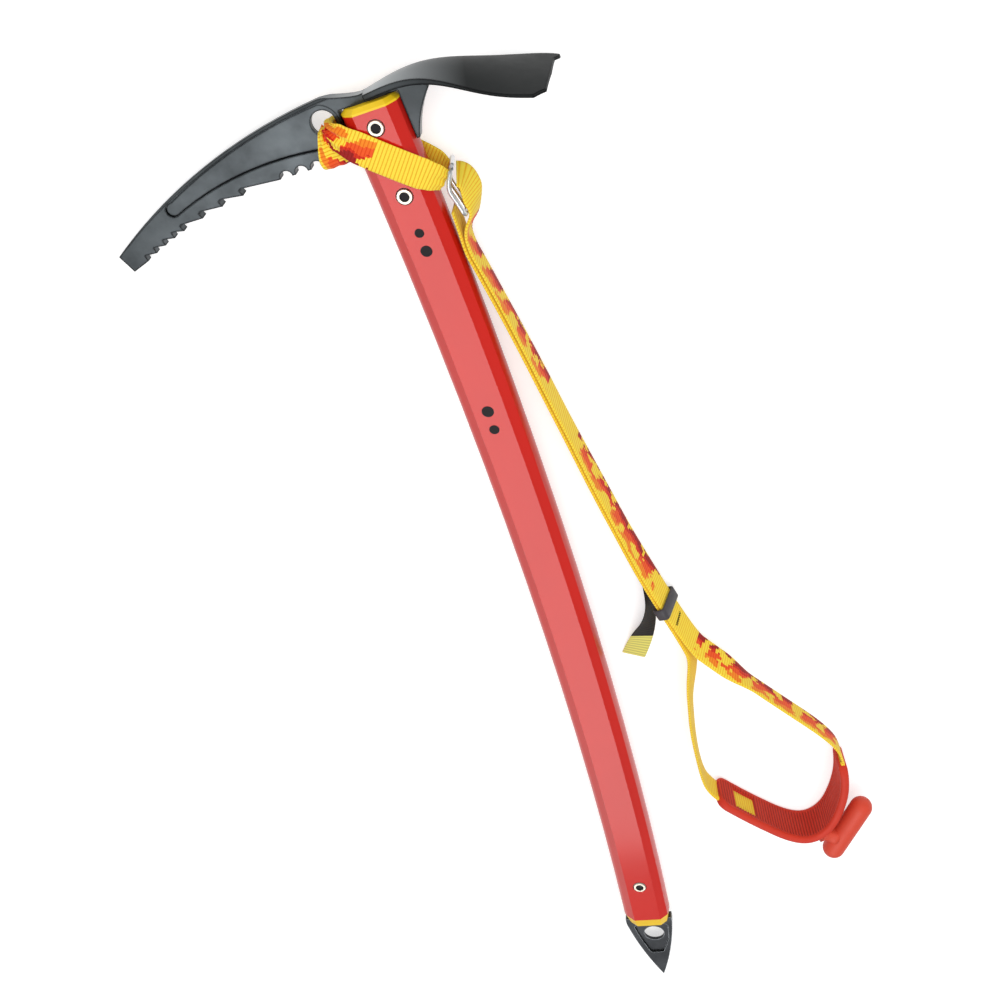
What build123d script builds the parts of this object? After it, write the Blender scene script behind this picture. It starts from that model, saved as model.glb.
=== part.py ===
from build123d import *

import math
import os

# Ice axe with a wrist leash, lying on its side on a floor.
#
# Axe frame, in which every rigid piece is drawn: origin at the centre of the shaft's top end, +Y up the
# shaft's axis there, +X aft (the adze side), -X forward (the pick side), Z across the axe's thickness.
# Floor frame, in which everything is handed over: +Z up, the axe resting on its adze corner, the tip of its
# pick and the heel of its shaft. Lengths are in millimetres.

# ---------------------------------------------------------------- general
fit_gap = 0.15            # running gap between a piece and the seat it is pressed or slid into
layer_gap = 0.5           # gap between the two layers of webbing

# ---------------------------------------------------------------- shaft
shaft_length = 588.0      # along the bowed axis, end to end
shaft_bow_radius = 3900.0
shaft_depth = 31.6        # fore and aft
shaft_thickness = 22.0
shaft_flat = 17.8         # fore-and-aft width of each side flat
shaft_bevel_width = 4.9
shaft_bevel_drop = 4.2
shaft_flat_shift = 0.9    # of flats, bevels and rivets toward the adze side
shaft_wall = 1.8

# ---------------------------------------------------------------- rivets
rivet_body = 6.6          # outside diameter of the tubular body
rivet_bore = 5.3
rivet_flange = 8.4
rivet_flange_height = 0.7
rivet_flange_chamfer = 0.4
rivet_seat_gap = 0.05
head_rivet_depths = (8.6, 45.3)   # below the top end of the shaft
spike_rivet_height = 33.5         # above the bottom end of the shaft

# ---------------------------------------------------------------- head
head_thickness = 6.4
seat_height = 3.2         # underside of the head above the shaft's top end
tang_width = 20.0
tang_length = 60.0        # below the shaft's top end
pick_tip_x = -161.0
pick_tip_y = -32.0
pick_tip_width = 11.0     # height of the blunt front edge
pick_tip_thickness = 4.0
pick_taper_length = 60.0
spine_radius = 314.0
crown = (-24.0, 11.5)     # highest point of the spine, over the carabiner hole
saddle_dip = (-3.7, 7.3)  # lowest point of the spine, over the front of the shaft
tooth_line_radius = 255.0
tooth_line_start = (-146.4, -38.8)
tooth_line_end = (-42.3, -19.7)
front_teeth = 5
front_tooth_pitch = 6.7
middle_teeth = 3
middle_tooth_pitch = 12.95
# Gullet behind a tooth, as places aft of its tip and above it.
front_gullet = ((-0.5, 3.3), (2.2, 3.0))
middle_gullet = ((-1.1, 3.0), (0.4, 3.8), (2.2, 3.5))
spine_chamfer = 1.5
rear_scallops = 3
rear_scallop_pitch = 8.6
rear_scallop_radius = 3.3
rear_scallop_start = -55.1
bridge_bottom = -18.2
carabiner_hole = 13.0
carabiner_hole_centre = (-26.0, -0.5)
panel_depth = 1.5
panel_corner = 3.0
fin_bottom = -21.8
fin_root_x = 30.8

# ---------------------------------------------------------------- adze
adze_reach = 90.0
adze_rest = (74.8, -10.65, 30.82)  # place on the adze's side edge that the axe lies on
# fore-and-aft station, half width, height of the side edge, rise of the crest, thickness
adze_stations = (
    (-1.0, 5.6, 7.0, 0.8, 2.8),
    (14.0, 8.8, 8.8, 1.8, 3.2),
    (34.0, 14.7, 6.8, 3.8, 2.8),
    (54.0, 24.5, -1.0, 4.6, 1.8),
    (70.0, 30.1, -7.4, 3.8, 1.6),
    (adze_reach, 30.6, -14.3, 1.6, 1.6),
)
# Cutting edge seen from above, as set back from the reach, and place across: the near corner is ground
# back and the far one stands out as a horn.
adze_edge = ((8.0, 32.0), (2.0, 24.0), (1.2, 0.0), (1.8, -22.0), (0.0, -27.5))
adze_waste = 10.0         # stock beyond the reach and the widest section

# ---------------------------------------------------------------- plugs
plug_crown = 3.0          # rise of the head plug's dome above the shaft's end
plug_rim = 1.0            # height of its edge
plug_sleeve_length = 56.0
collar_height = 8.2
collar_taper = 14.0       # degrees
collar_sleeve_length = 42.0

# ---------------------------------------------------------------- spike
spike_length = 67.5       # below the shaft's bottom end
spike_half_width = 16.0
spike_shoulder = 12.5     # depth at which the blade starts to taper
spike_tip_offset = 2.2    # toward the adze side
spike_bulge = 1.9
spike_thickness = 5.6
spike_hole = 14.0
spike_hole_centre = (1.5, -25.3)
spike_web = 2.6           # thickness left in the recessed panel
spike_tang_width = 19.0
spike_tang_length = 44.0

# ---------------------------------------------------------------- webbing
web_width = 18.0
web_thickness = 1.8
leash_height = 14.0       # of the webbing's middle line above the floor, where it stands on its edge
buckle_height = 21.0      # of the webbing's middle line at the buckle
leash_lean = 24.0         # degrees that the standing webbing's top leans toward the shaft

# Floor-plan points, from the floor point under the centre of the shaft's top end.
fold_route = (
    (29.3, -42.0, buckle_height),
    (34.9, -44.4, buckle_height),
    (37.0, -55.0, buckle_height),
    (31.0, -66.0, buckle_height),
    (21.2, -78.0, buckle_height),
)
inner_start_route = (
    (20.8, -70.0, buckle_height),
    (19.9, -83.0, buckle_height),
)
strap_route = (
    (19.8, -97.2, buckle_height - 1.6),
    (24.6, -151.2, leash_height),
    (29.4, -207.2, leash_height),
    (34.6, -261.2, leash_height),
    (40.5, -313.2, leash_height),
    (51.3, -374.2, leash_height),
)
outer_strand_route = (
    (58.2, -386.9, leash_height),
    (73.6, -413.4, leash_height),
    (90.6, -441.4, leash_height),
    (106.4, -466.9, leash_height),
    (113.4, -481.9, leash_height),
    (114.4, -494.3, leash_height),
)
inner_strand_route = (
    (47.0, -386.9, leash_height),
    (42.4, -402.9, leash_height),
    (35.4, -429.9, leash_height),
    (31.0, -455.9, leash_height),
    (28.8, -480.9, leash_height),
    (30.7, -494.4, leash_height),
)
pad_route = (
    (114.6, -495.3, leash_height),
    (113.0, -510.4, leash_height),
    (104.6, -529.4, leash_height),
    (93.8, -544.2, leash_height),
    (80.0, -549.5, leash_height),
    (67.4, -542.5, leash_height),
    (52.6, -524.4, leash_height),
    (40.2, -507.5, leash_height),
    (32.4, -495.7, leash_height),
)
tag_route = (
    (40.0, -317.9, 10.0),
    (37.6, -332.9, 10.0),
    (31.4, -347.9, 9.4),
    (23.4, -361.9, 9.0),
    (12.6, -377.4, 9.0),
)

# ---------------------------------------------------------------- leash hardware
anchor_turn = -42.3       # heading of the loop from the carabiner hole
anchor_drop = 2.2         # its middle line below the hole's centre
anchor_waist = 8.0        # width where the loop is drawn through the hole
anchor_end_width = 11.6   # width in the buckle's slots
# Half of the loop seen from its side: distance from the hole, height over the axe's middle plane.
anchor_profile = ((64.0, 5.4), (54.6, 13.1), (13.0, 13.1), (0.0, 5.0))
buckle_length = 22.0      # upright on the floor
buckle_thickness = 2.4
buckle_middle = 24.5      # height of its middle
buckle_bend_radius = 7.0
buckle_slot_height = 6.6
buckle_slot_rise = 5.6    # from its middle to the middle of each slot
buckle_route = ((27.6, -38.4), (20.6, -47.2), (23.2, -57.0), (24.6, -66.0))
buckle_slot_span = (-53.4, -40.2)
buckle_corner_round = 4.0

keeper_length = 8.0
keeper_wall = 3.0
keeper_gap = 0.6
keeper_place = 28.0       # from the last strap point but one, along the straight stretch
keeper_travel = 22.0

pad_height = 28.0
pad_thickness = 5.6
pad_slot_gap = 0.3
pad_window_length = 16.0
pad_window_height = 15.5
pad_window_place = (46.3, -515.5)
grip_bar_radius = 7.3
grip_bar_height = 20.0
grip_end_chamfer = 3.6    # its round ends stand as chamfers
grip_bar_ends = ((117.3, -537.7), (92.2, -566.5))
grip_neck_place = 0.72    # along the bar, from its free end
grip_neck_width = 9.0
grip_neck_height = 11.0
grip_neck_reach = 13.0
tag_width = 15.0
tag_thickness = 0.8


def station(distance):
    """Place on the shaft's axis, at a distance below its top end."""
    angle = distance / shaft_bow_radius
    x = shaft_bow_radius * (math.cos(angle) - 1)
    y = -shaft_bow_radius * math.sin(angle)
    return Location((x, y, 0), (0, 0, -math.degrees(angle)))


def shaft_outline(inset=0.0, rounded=True):
    """Elongated octagon drawn across the shaft's top end, its noses rounded or pointed, shrunk by the inset."""
    front = shaft_flat_shift - shaft_flat / 2
    rear = shaft_flat_shift + shaft_flat / 2
    flat_z = shaft_thickness / 2
    bevel_z = flat_z - shaft_bevel_drop
    nose_x = shaft_depth / 2
    bevel = shaft_bevel_width
    with BuildSketch(Plane.XZ) as outline:
        with BuildLine():
            if rounded:
                Line((front, flat_z), (rear, flat_z))
                Line((rear, flat_z), (rear + bevel, bevel_z))
                ThreePointArc((rear + bevel, bevel_z), (nose_x, 0), (rear + bevel, -bevel_z))
                Polyline((rear + bevel, -bevel_z), (rear, -flat_z), (front, -flat_z), (front - bevel, -bevel_z))
                ThreePointArc((front - bevel, -bevel_z), (-nose_x, 0), (front - bevel, bevel_z))
                Line((front - bevel, bevel_z), (front, flat_z))
            else:
                Polyline(
                    (front, flat_z), (rear, flat_z), (rear + bevel, bevel_z), (nose_x, 0),
                    (rear + bevel, -bevel_z), (rear, -flat_z), (front, -flat_z), (front - bevel, -bevel_z),
                    (-nose_x, 0), (front - bevel, bevel_z), (front, flat_z),
                )
        make_face()
        if inset > 0:
            offset(amount=-inset, kind=Kind.INTERSECTION, mode=Mode.REPLACE)
    return outline.sketch


def bowed(section, length):
    """Sweep a section drawn across the shaft's top end down the bowed axis."""
    axis = Axis((-shaft_bow_radius, 0, 0), (0, 0, -1))
    return revolve(section, axis=axis, revolution_arc=math.degrees(length / shaft_bow_radius))


def upright_bore(diameter, length):
    """Cylinder across the axe's thickness, centred on its middle plane."""
    return Cylinder(diameter / 2, length)


def make_shaft():
    tube = bowed(shaft_outline(), shaft_length) - bowed(shaft_outline(shaft_wall, False), shaft_length)
    bore = upright_bore(rivet_body + 2 * fit_gap, 2 * shaft_thickness)
    for place in rivet_places():
        tube -= place * bore
    return tube


def rivet_places():
    """The two head rivets, then the spike rivet."""
    depths = list(head_rivet_depths) + [shaft_length - spike_rivet_height]
    return [station(depth) * Pos(shaft_flat_shift, 0, 0) for depth in depths]


def make_rivet():
    """Tubular rivet: a body through the shaft with a flange on each side."""
    half = shaft_thickness / 2 + rivet_seat_gap
    top = half + rivet_flange_height
    inner = rivet_bore / 2
    body = rivet_body / 2
    flange = rivet_flange / 2
    shoulder = flange - rivet_flange_chamfer
    with BuildSketch(Plane.XZ) as profile:
        with BuildLine():
            Polyline(
                (inner, -top), (inner, top), (shoulder, top), (flange, half), (body, half),
                (body, -half), (flange, -half), (shoulder, -top), (inner, -top),
            )
        make_face()
    return revolve(profile.sketch, axis=Axis.Z)


def circle_height(x, start, end, radius):
    """Height at x of the arc, hollow side down, that joins two points."""
    chord = Vector(end[0] - start[0], end[1] - start[1])
    middle = Vector((start[0] + end[0]) / 2, (start[1] + end[1]) / 2)
    normal = Vector(-chord.Y, chord.X).normalized()
    centre = middle - normal * math.sqrt(radius**2 - (chord.length / 2) ** 2)
    return centre.Y + math.sqrt(radius**2 - (x - centre.X) ** 2)


def tooth_height(x):
    return circle_height(x, tooth_line_start, tooth_line_end, tooth_line_radius)


def spine_height(x):
    return circle_height(x, (pick_tip_x, pick_tip_y), crown, spine_radius)


def tooth_tips():
    """Fore-and-aft places of the front and middle tooth tips."""
    start = tooth_line_start[0]
    front = [start + k * front_tooth_pitch for k in range(front_teeth)]
    middle = [front[-1] + (k + 1) * middle_tooth_pitch for k in range(middle_teeth)]
    return front + middle


def pick_lower_edge():
    """Points of the pick's lower edge, from the tip back to the bridge in front of the shaft."""
    points = [(pick_tip_x + 0.38 * pick_tip_width, pick_tip_y - 0.92 * pick_tip_width)]
    for number, x in enumerate(tooth_tips()):
        gullet = middle_gullet if number >= front_teeth - 1 else front_gullet
        points.append((x, tooth_height(x)))
        points += [(x + aft, tooth_height(x) + up) for aft, up in gullet]
    rear_end = rear_scallop_start + rear_scallops * rear_scallop_pitch - rear_scallop_pitch / 2
    for x in (rear_scallop_start - rear_scallop_pitch / 2, rear_end):
        points.append((x, tooth_height(x)))
    points.append((rear_end + 3.0, bridge_bottom))
    return points


def head_outline():
    """Side view of the forging without the adze: pick, bridge, tang and rear fin."""
    nose = shaft_depth / 2 + fit_gap
    tang = tang_width / 2
    mid_x = (pick_tip_x + crown[0]) / 2
    with BuildSketch() as outline:
        with BuildLine():
            ThreePointArc(crown, (mid_x, spine_height(mid_x)), (pick_tip_x, pick_tip_y))
            Polyline((pick_tip_x, pick_tip_y), *pick_lower_edge(), (-nose - 2.0, bridge_bottom - 1.5))
            Polyline(
                (-nose - 2.0, bridge_bottom - 1.5), (-nose, bridge_bottom - 1.5), (-nose, seat_height),
                (-tang, seat_height), (-tang, -tang_length), (tang, -tang_length), (tang, seat_height),
                (nose, seat_height), (nose, fin_bottom), (nose + 1.6, fin_bottom),
            )
            ThreePointArc((nose + 1.6, fin_bottom), (22.8, -10.4), (fin_root_x, 0.0))
            Polyline((fin_root_x, 0.0), (fin_root_x, 5.6), (14.0, 8.6), (4.0, 8.0), saddle_dip)
            Spline(saddle_dip, (-13.5, 9.3), crown, tangents=[(-1, 0.12), (-1, 0.03)])
        make_face()
    return outline.sketch


def make_panel():
    """Recess in one side of the pick, round the carabiner hole at its rear end."""
    hole_x, hole_y = carabiner_hole_centre
    with BuildSketch(Plane.XY.offset(head_thickness / 2 - panel_depth)) as outline:
        with BuildLine():
            ThreePointArc((hole_x + 1.0, hole_y + 9.6), (-70.0, 2.6), (-119.5, -13.6))
            ThreePointArc((-119.5, -13.6), (-123.6, -18.6), (-118.5, -20.6))
            ThreePointArc((-118.5, -20.6), (-76.0, -11.2), (-32.0, -12.4))
            ThreePointArc((-32.0, -12.4), (hole_x + 8.8, hole_y - 3.0), (hole_x + 1.0, hole_y + 9.6))
        make_face()
    return extrude(outline.sketch, panel_depth * 2)


def adze_section(x, half_width, edge_height, rise, thickness):
    """One arched slice across the adze."""
    low = edge_height - thickness
    with BuildSketch(Plane.YZ.offset(x)) as slice_outline:
        with BuildLine():
            ThreePointArc((edge_height, -half_width), (edge_height + rise, 0), (edge_height, half_width))
            Line((edge_height, half_width), (low, half_width))
            ThreePointArc((low, half_width), (low + rise, 0), (low, -half_width))
            Line((low, -half_width), (edge_height, -half_width))
        make_face()
    return slice_outline.sketch


def make_adze():
    blade = loft([adze_section(*values) for values in adze_stations])
    beyond = adze_reach + adze_waste
    side = adze_stations[-1][1] + adze_waste
    edge = [(adze_reach - setback, z) for setback, z in adze_edge]
    with BuildSketch(Plane.XZ) as waste:
        with BuildLine():
            Polyline(*edge, (beyond, -side), (beyond, side), edge[0])
        make_face()
    return blade - extrude(waste.sketch, side, both=True)


def pick_taper():
    """Wedge that thins one side of the pick toward its tip."""
    start = pick_tip_x + pick_taper_length
    half = head_thickness / 2
    with BuildSketch(Plane.XZ) as wedge:
        with BuildLine():
            Polyline(
                (start, half), (pick_tip_x - 1, pick_tip_thickness / 2), (pick_tip_x - 1, half + 1),
                (start, half + 1), (start, half),
            )
        make_face()
    return extrude(wedge.sketch, 60, both=True)


def is_spine(edge):
    return edge.geom_type == GeomType.CIRCLE and abs(edge.radius - spine_radius) < 0.1


def make_head():
    head = extrude(head_outline(), head_thickness / 2, both=True)
    spine_edges = head.edges().filter_by(is_spine)
    head = chamfer(spine_edges, spine_chamfer)
    for k in range(rear_scallops):
        x = rear_scallop_start + k * rear_scallop_pitch
        head -= Pos(x, tooth_height(x), 0) * upright_bore(2 * rear_scallop_radius, 2 * head_thickness)
    wedge = pick_taper()
    panel = make_panel()
    for cutter in (wedge, panel):
        head -= cutter
        head -= mirror(cutter, about=Plane.XY)
    head += make_adze()
    hole_x, hole_y = carabiner_hole_centre
    head -= Pos(hole_x, hole_y, 0) * upright_bore(carabiner_hole, 2 * head_thickness)
    bore = upright_bore(rivet_body + 2 * fit_gap, 2 * head_thickness)
    for place in rivet_places()[:2]:
        head -= place * bore
    return head


def plug_sleeve(length):
    """Solid core that fits inside the tube, drawn at the shaft's top end and running down it."""
    return bowed(shaft_outline(shaft_wall + fit_gap, False), length)


def make_head_plug():
    """Dome over the tube's top end on a sleeve inside it, slotted for the head's tang."""
    rim = extrude(shaft_outline(), -plug_rim)
    crown_outline = shaft_outline(2.6)
    dome = loft([Pos(0, plug_rim, 0) * shaft_outline(), Pos(0, plug_crown, 0) * crown_outline])
    plug = rim + dome + plug_sleeve(plug_sleeve_length)
    slot_depth = tang_length + plug_crown + 2
    slot = Box(tang_width + 2 * fit_gap, slot_depth, head_thickness + 2 * fit_gap)
    plug -= Pos(0, plug_crown + 1 - slot_depth / 2, 0) * slot
    bore = upright_bore(rivet_body + 2 * fit_gap, 2 * shaft_thickness)
    for place in rivet_places()[:2]:
        plug -= place * bore
    return plug


def spike_outline():
    """Blade below the shaft, drawn from the centre of the shaft's bottom end."""
    half = spike_half_width
    tip = (spike_tip_offset, -spike_length)
    mid_y = -(spike_shoulder + spike_length) / 2
    left_mid = ((-half + tip[0]) / 2 - spike_bulge, mid_y)
    right_mid = ((half + tip[0]) / 2 + spike_bulge, mid_y)
    tang = spike_tang_width / 2
    with BuildSketch() as outline:
        with BuildLine():
            Polyline((-half, -spike_shoulder), (-half, -collar_height), (-tang, -collar_height))
            Polyline((-tang, -collar_height), (-tang, spike_tang_length), (tang, spike_tang_length))
            Polyline((tang, spike_tang_length), (tang, -collar_height), (half, -collar_height))
            Line((half, -collar_height), (half, -spike_shoulder))
            ThreePointArc((half, -spike_shoulder), right_mid, tip)
            ThreePointArc(tip, left_mid, (-half, -spike_shoulder))
        make_face()
    return outline.sketch


def make_spike():
    blade = extrude(spike_outline(), spike_thickness / 2, both=True)
    with BuildSketch(Plane.XY.offset(spike_web / 2)) as panel_outline:
        with BuildLine():
            Polyline((5.6, -43.6), (11.2, -30.0), (12.6, -14.6), (-11.4, -14.6), (-9.0, -26.0), (-3.4, -43.6))
            Line((-3.4, -43.6), (5.6, -43.6))
        make_face()
        fillet(panel_outline.vertices(), 2.2)
    panel = extrude(panel_outline.sketch, spike_thickness)
    blade -= panel
    blade -= mirror(panel, about=Plane.XY)
    hole_x, hole_y = spike_hole_centre
    blade -= Pos(hole_x, hole_y, 0) * upright_bore(spike_hole, 2 * spike_thickness)
    bore = upright_bore(rivet_body + 2 * fit_gap, 2 * spike_thickness)
    blade -= Pos(shaft_flat_shift, spike_rivet_height, 0) * bore
    return station(shaft_length) * blade


def make_spike_collar():
    """Tapered dome under the tube's bottom end on a sleeve inside it, slotted for the spike's tang."""
    bottom = station(shaft_length)
    sleeve = station(shaft_length - collar_sleeve_length) * plug_sleeve(collar_sleeve_length)
    dome = extrude(shaft_outline(), collar_height, taper=collar_taper)
    collar = dome + bottom.inverse() * sleeve
    slot_length = collar_sleeve_length + collar_height + 6
    slot = Box(spike_tang_width + 2 * fit_gap, slot_length, spike_thickness + 2 * fit_gap)
    collar -= Pos(0, slot_length / 2 - collar_height - 1, 0) * slot
    bore = upright_bore(rivet_body + 2 * fit_gap, 2 * shaft_thickness)
    collar -= Pos(shaft_flat_shift, spike_rivet_height, 0) * bore
    return bottom * collar


def arc_radii(points):
    """Radius of the arc at each corner of a route: as large as its two runs allow."""
    radii = []
    for before, corner, after in zip(points, points[1:], points[2:]):
        run_in = Vector(corner) - Vector(before)
        run_out = Vector(after) - Vector(corner)
        half_turn = math.radians(run_in.get_angle(run_out)) / 2
        radii.append(0.45 * min(run_in.length, run_out.length) / math.tan(half_turn))
    return radii


def route_path(name, points):
    radii = arc_radii(points)
    path = FilletPolyline(*points, radius=radii)
    print(f"{name}: length {path.length:.1f}, radii " + " ".join(f"{r:.0f}" for r in radii))
    return path


def leaning(heading, lean):
    """Direction that stands up from the floor and leans to the right of a heading."""
    right = heading.cross(Vector(0, 0, 1)).normalized()
    return Vector(0, 0, 1) * math.cos(math.radians(lean)) + right * math.sin(math.radians(lean))


def band(path, width, thickness, across, aside=0.0):
    """Flat band along a path, its width starting along one direction, shifted sideways by a distance."""
    start = Plane(origin=path @ 0, x_dir=across, z_dir=path % 0)
    return sweep(start * Pos(0, aside, 0) * Rectangle(width, thickness), path=path)


def standing_band(path, width, thickness, lean=0.0, aside=0.0):
    return band(path, width, thickness, leaning(path % 0, lean), aside)


def make_strap_outer():
    points = fold_route + strap_route + outer_strand_route
    path = route_path("leash_strap_outer", points)
    return standing_band(path, web_width, web_thickness, leash_lean, -(web_thickness + layer_gap) / 2)


def make_strap_inner():
    points = inner_start_route + strap_route + inner_strand_route
    path = route_path("leash_strap_inner", points)
    return standing_band(path, web_width, web_thickness, leash_lean, (web_thickness + layer_gap) / 2)


def make_pad_webbing():
    return standing_band(route_path("pad_webbing", pad_route), web_width, web_thickness)


def make_wrist_pad():
    """Rubber sleeve round the webbing, with a window on its inner face near one end."""
    path = route_path("wrist_pad", pad_route)
    pad = standing_band(path, pad_height, pad_thickness)
    pad -= standing_band(path, web_width + 2 * pad_slot_gap, web_thickness + 2 * pad_slot_gap)
    run_in = Vector(pad_route[-2]) - Vector(pad_route[-3])
    window = Box(pad_window_length, pad_thickness, pad_window_height)
    turn = math.degrees(math.atan2(run_in.Y, run_in.X))
    inner_side = Pos(0, -pad_thickness / 2, 0)
    return pad - Pos(*pad_window_place, leash_height) * Rot(0, 0, turn) * inner_side * window


def make_grip_bar():
    """Rubber bar on a neck from the pad's outer face."""
    free_end = Vector(*grip_bar_ends[0], grip_bar_height)
    root_end = Vector(*grip_bar_ends[1], grip_bar_height)
    along = (root_end - free_end).normalized()
    length = (root_end - free_end).length
    end = grip_bar_radius - grip_end_chamfer
    with BuildSketch(Plane.XZ) as profile:
        with BuildLine():
            Polyline(
                (0, -grip_bar_radius), (end, -grip_bar_radius), (grip_bar_radius, -end),
                (grip_bar_radius, length + end), (end, length + grip_bar_radius), (0, length + grip_bar_radius),
                (0, -grip_bar_radius),
            )
        make_face()
    bar = Plane(origin=free_end, z_dir=along) * revolve(profile.sketch, axis=Axis.Z)
    foot = free_end + along * length * grip_neck_place
    sideways = Vector(along.Y, -along.X)
    neck_plane = Plane(origin=foot, x_dir=along, z_dir=sideways)
    neck = extrude(neck_plane * Rectangle(grip_neck_width, grip_neck_height), grip_neck_reach)
    sleeve = standing_band(route_path("grip_bar_seat", pad_route), pad_height, pad_thickness)
    return (bar + neck) - sleeve


def make_keeper_ring():
    start = Vector(strap_route[-2])
    along = (Vector(strap_route[-1]) - start).normalized()
    foot = start + along * (keeper_place - keeper_length / 2)
    plane = Plane(origin=foot, x_dir=leaning(along, leash_lean), z_dir=along)
    inner_width = web_width + 2 * keeper_gap
    inner_depth = 2 * web_thickness + layer_gap + 2 * keeper_gap
    outer = RectangleRounded(inner_width + 2 * keeper_wall, inner_depth + 2 * keeper_wall, keeper_wall)
    ring = extrude(plane * outer, keeper_length)
    ring -= extrude(plane * Rectangle(inner_width, inner_depth), keeper_length)
    return ring


def make_buckle():
    """Bent steel slide standing upright, with two slots for the webbing."""
    points = [(x, y, buckle_middle) for x, y in buckle_route]
    path = FilletPolyline(*points, radius=buckle_bend_radius)
    plate = standing_band(path, buckle_length, buckle_thickness)
    corners = plate.edges().filter_by(lambda e: abs(e.length - buckle_thickness) < 0.01)
    plate = fillet(corners, buckle_corner_round)
    span = buckle_slot_span[1] - buckle_slot_span[0]
    middle_y = (buckle_slot_span[0] + buckle_slot_span[1]) / 2
    slot = Box(60, span, buckle_slot_height)
    for side in (1, -1):
        plate -= Pos(points[1][0], middle_y, buckle_middle + side * buckle_slot_rise) * slot
    return plate


def make_tag():
    return standing_band(route_path("leash_tag", tag_route), tag_width, tag_thickness, leash_lean)


def make_anchor_loop():
    """Webbing through the carabiner hole and round the shaft, both ends in the buckle's slots."""
    upper = [(u, 0, z) for u, z in anchor_profile]
    lower = [(u, 0, -z) for u, z in reversed(anchor_profile)]
    path = FilletPolyline(*upper, *lower, radius=4)
    loop = band(path, web_width, web_thickness, across=(0, 1, 0))
    waist = anchor_waist / 2
    with BuildSketch(Plane.YZ) as side_cut:
        with BuildLine():
            Polyline((waist, -4.6), (waist, 4.6), (web_width, 12.0), (web_width, -12.0), (waist, -4.6))
        make_face()
    cutter = extrude(side_cut.sketch, 9, both=True)
    end_x = anchor_profile[0][0]
    end = anchor_end_width / 2
    with BuildSketch() as end_cut:
        with BuildLine():
            Polyline(
                (end_x + 1, end), (end_x - 5.5, end), (end_x - 9.5, web_width / 2 + 0.1), (end_x - 9.5, web_width),
                (end_x + 1, web_width), (end_x + 1, end),
            )
        make_face()
    for waste in (cutter, extrude(end_cut.sketch, 20, both=True)):
        loop -= waste
        loop -= mirror(waste, about=Plane.XZ)
    hole_x, hole_y = carabiner_hole_centre
    return Pos(hole_x, hole_y - anchor_drop, 0) * Rot(0, 0, anchor_turn) * loop


def floor_plane():
    """Floor under the axe in the axe's own frame: it rests on adze, pick tip and the shaft's heel."""
    adze_side = Vector(adze_rest[0], adze_rest[1], -adze_rest[2])
    tip = Vector(pick_tip_x, pick_tip_y, -pick_tip_thickness / 2)
    heel_place = Pos(shaft_flat_shift - shaft_flat / 2, 0, -shaft_thickness / 2)
    heel = (station(shaft_length) * heel_place).position
    up = (heel - adze_side).cross(tip - adze_side).normalized()
    if up.Z < 0:
        up = -up
    down_shaft = Vector(0, 1, 0)
    down_shaft = (down_shaft - up * down_shaft.dot(up)).normalized()
    foot = up * adze_side.dot(up)
    return Plane(origin=foot, x_dir=down_shaft.cross(up), z_dir=up)


def rivet_group(places):
    group = Part()
    for place in places:
        group += place * make_rivet()
    return group


def main():
    lay_down = floor_plane().location.inverse()
    places = rivet_places()
    axe = {
        "head": make_head(),
        "shaft": make_shaft(),
        "head_plug": make_head_plug(),
        "head_rivets": rivet_group(places[:2]),
        "spike": make_spike(),
        "spike_collar": make_spike_collar(),
        "spike_rivet": rivet_group(places[2:]),
        "leash_anchor_loop": make_anchor_loop(),
    }
    pieces = {name: lay_down * piece for name, piece in axe.items()}
    box = Compound(children=[lay_down * axe[name] for name in ("head", "shaft", "spike")]).bounding_box()
    pieces["leash_buckle"] = make_buckle()
    pieces["leash_strap_outer"] = make_strap_outer()
    pieces["leash_strap_inner"] = make_strap_inner()
    pieces["keeper_ring"] = make_keeper_ring()
    pieces["wrist_pad"] = make_wrist_pad()
    pieces["pad_webbing"] = make_pad_webbing()
    pieces["grip_bar"] = make_grip_bar()
    pieces["leash_tag"] = make_tag()
    origin = Pos(-box.center().X, -box.center().Y, -box.min.Z)
    print("moved by", origin.position)
    os.makedirs("parts", exist_ok=True)
    for name, piece in pieces.items():
        placed = origin * piece
        print(f"{name}: {placed.volume:.0f} mm3, {len(placed.solids())} solids")
        export_step(placed, f"parts/{name}.step")


if __name__ == "__main__":
    main()
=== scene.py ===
"""Ice axe with its wrist leash, lying on one side: finishes, soft goods, floor, light and camera."""

from __future__ import annotations

import logging
import math
from dataclasses import dataclass
from enum import Enum
from typing import Callable, Sequence

import bmesh
import bpy
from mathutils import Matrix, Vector

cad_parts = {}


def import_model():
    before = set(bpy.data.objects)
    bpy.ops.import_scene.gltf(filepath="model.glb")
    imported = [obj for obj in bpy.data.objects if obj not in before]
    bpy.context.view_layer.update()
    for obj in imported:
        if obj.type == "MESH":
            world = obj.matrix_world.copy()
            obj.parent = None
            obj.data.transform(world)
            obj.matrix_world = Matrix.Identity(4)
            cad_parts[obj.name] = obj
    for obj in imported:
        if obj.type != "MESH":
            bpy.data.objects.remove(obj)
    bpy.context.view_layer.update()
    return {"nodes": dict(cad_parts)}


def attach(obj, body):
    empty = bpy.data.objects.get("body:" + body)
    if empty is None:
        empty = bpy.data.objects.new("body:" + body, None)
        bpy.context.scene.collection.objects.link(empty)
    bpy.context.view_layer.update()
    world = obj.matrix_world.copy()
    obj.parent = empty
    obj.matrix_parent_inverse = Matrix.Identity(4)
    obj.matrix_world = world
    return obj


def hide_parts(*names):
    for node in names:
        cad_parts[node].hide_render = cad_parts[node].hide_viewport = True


log = logging.getLogger("ice_axe")

MM = 0.001
# Floor point under the centre of the shaft's top end, which the leash's routes are measured from.
LEASH_DATUM = Vector((33.4974, 320.630, 0.009))
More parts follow.
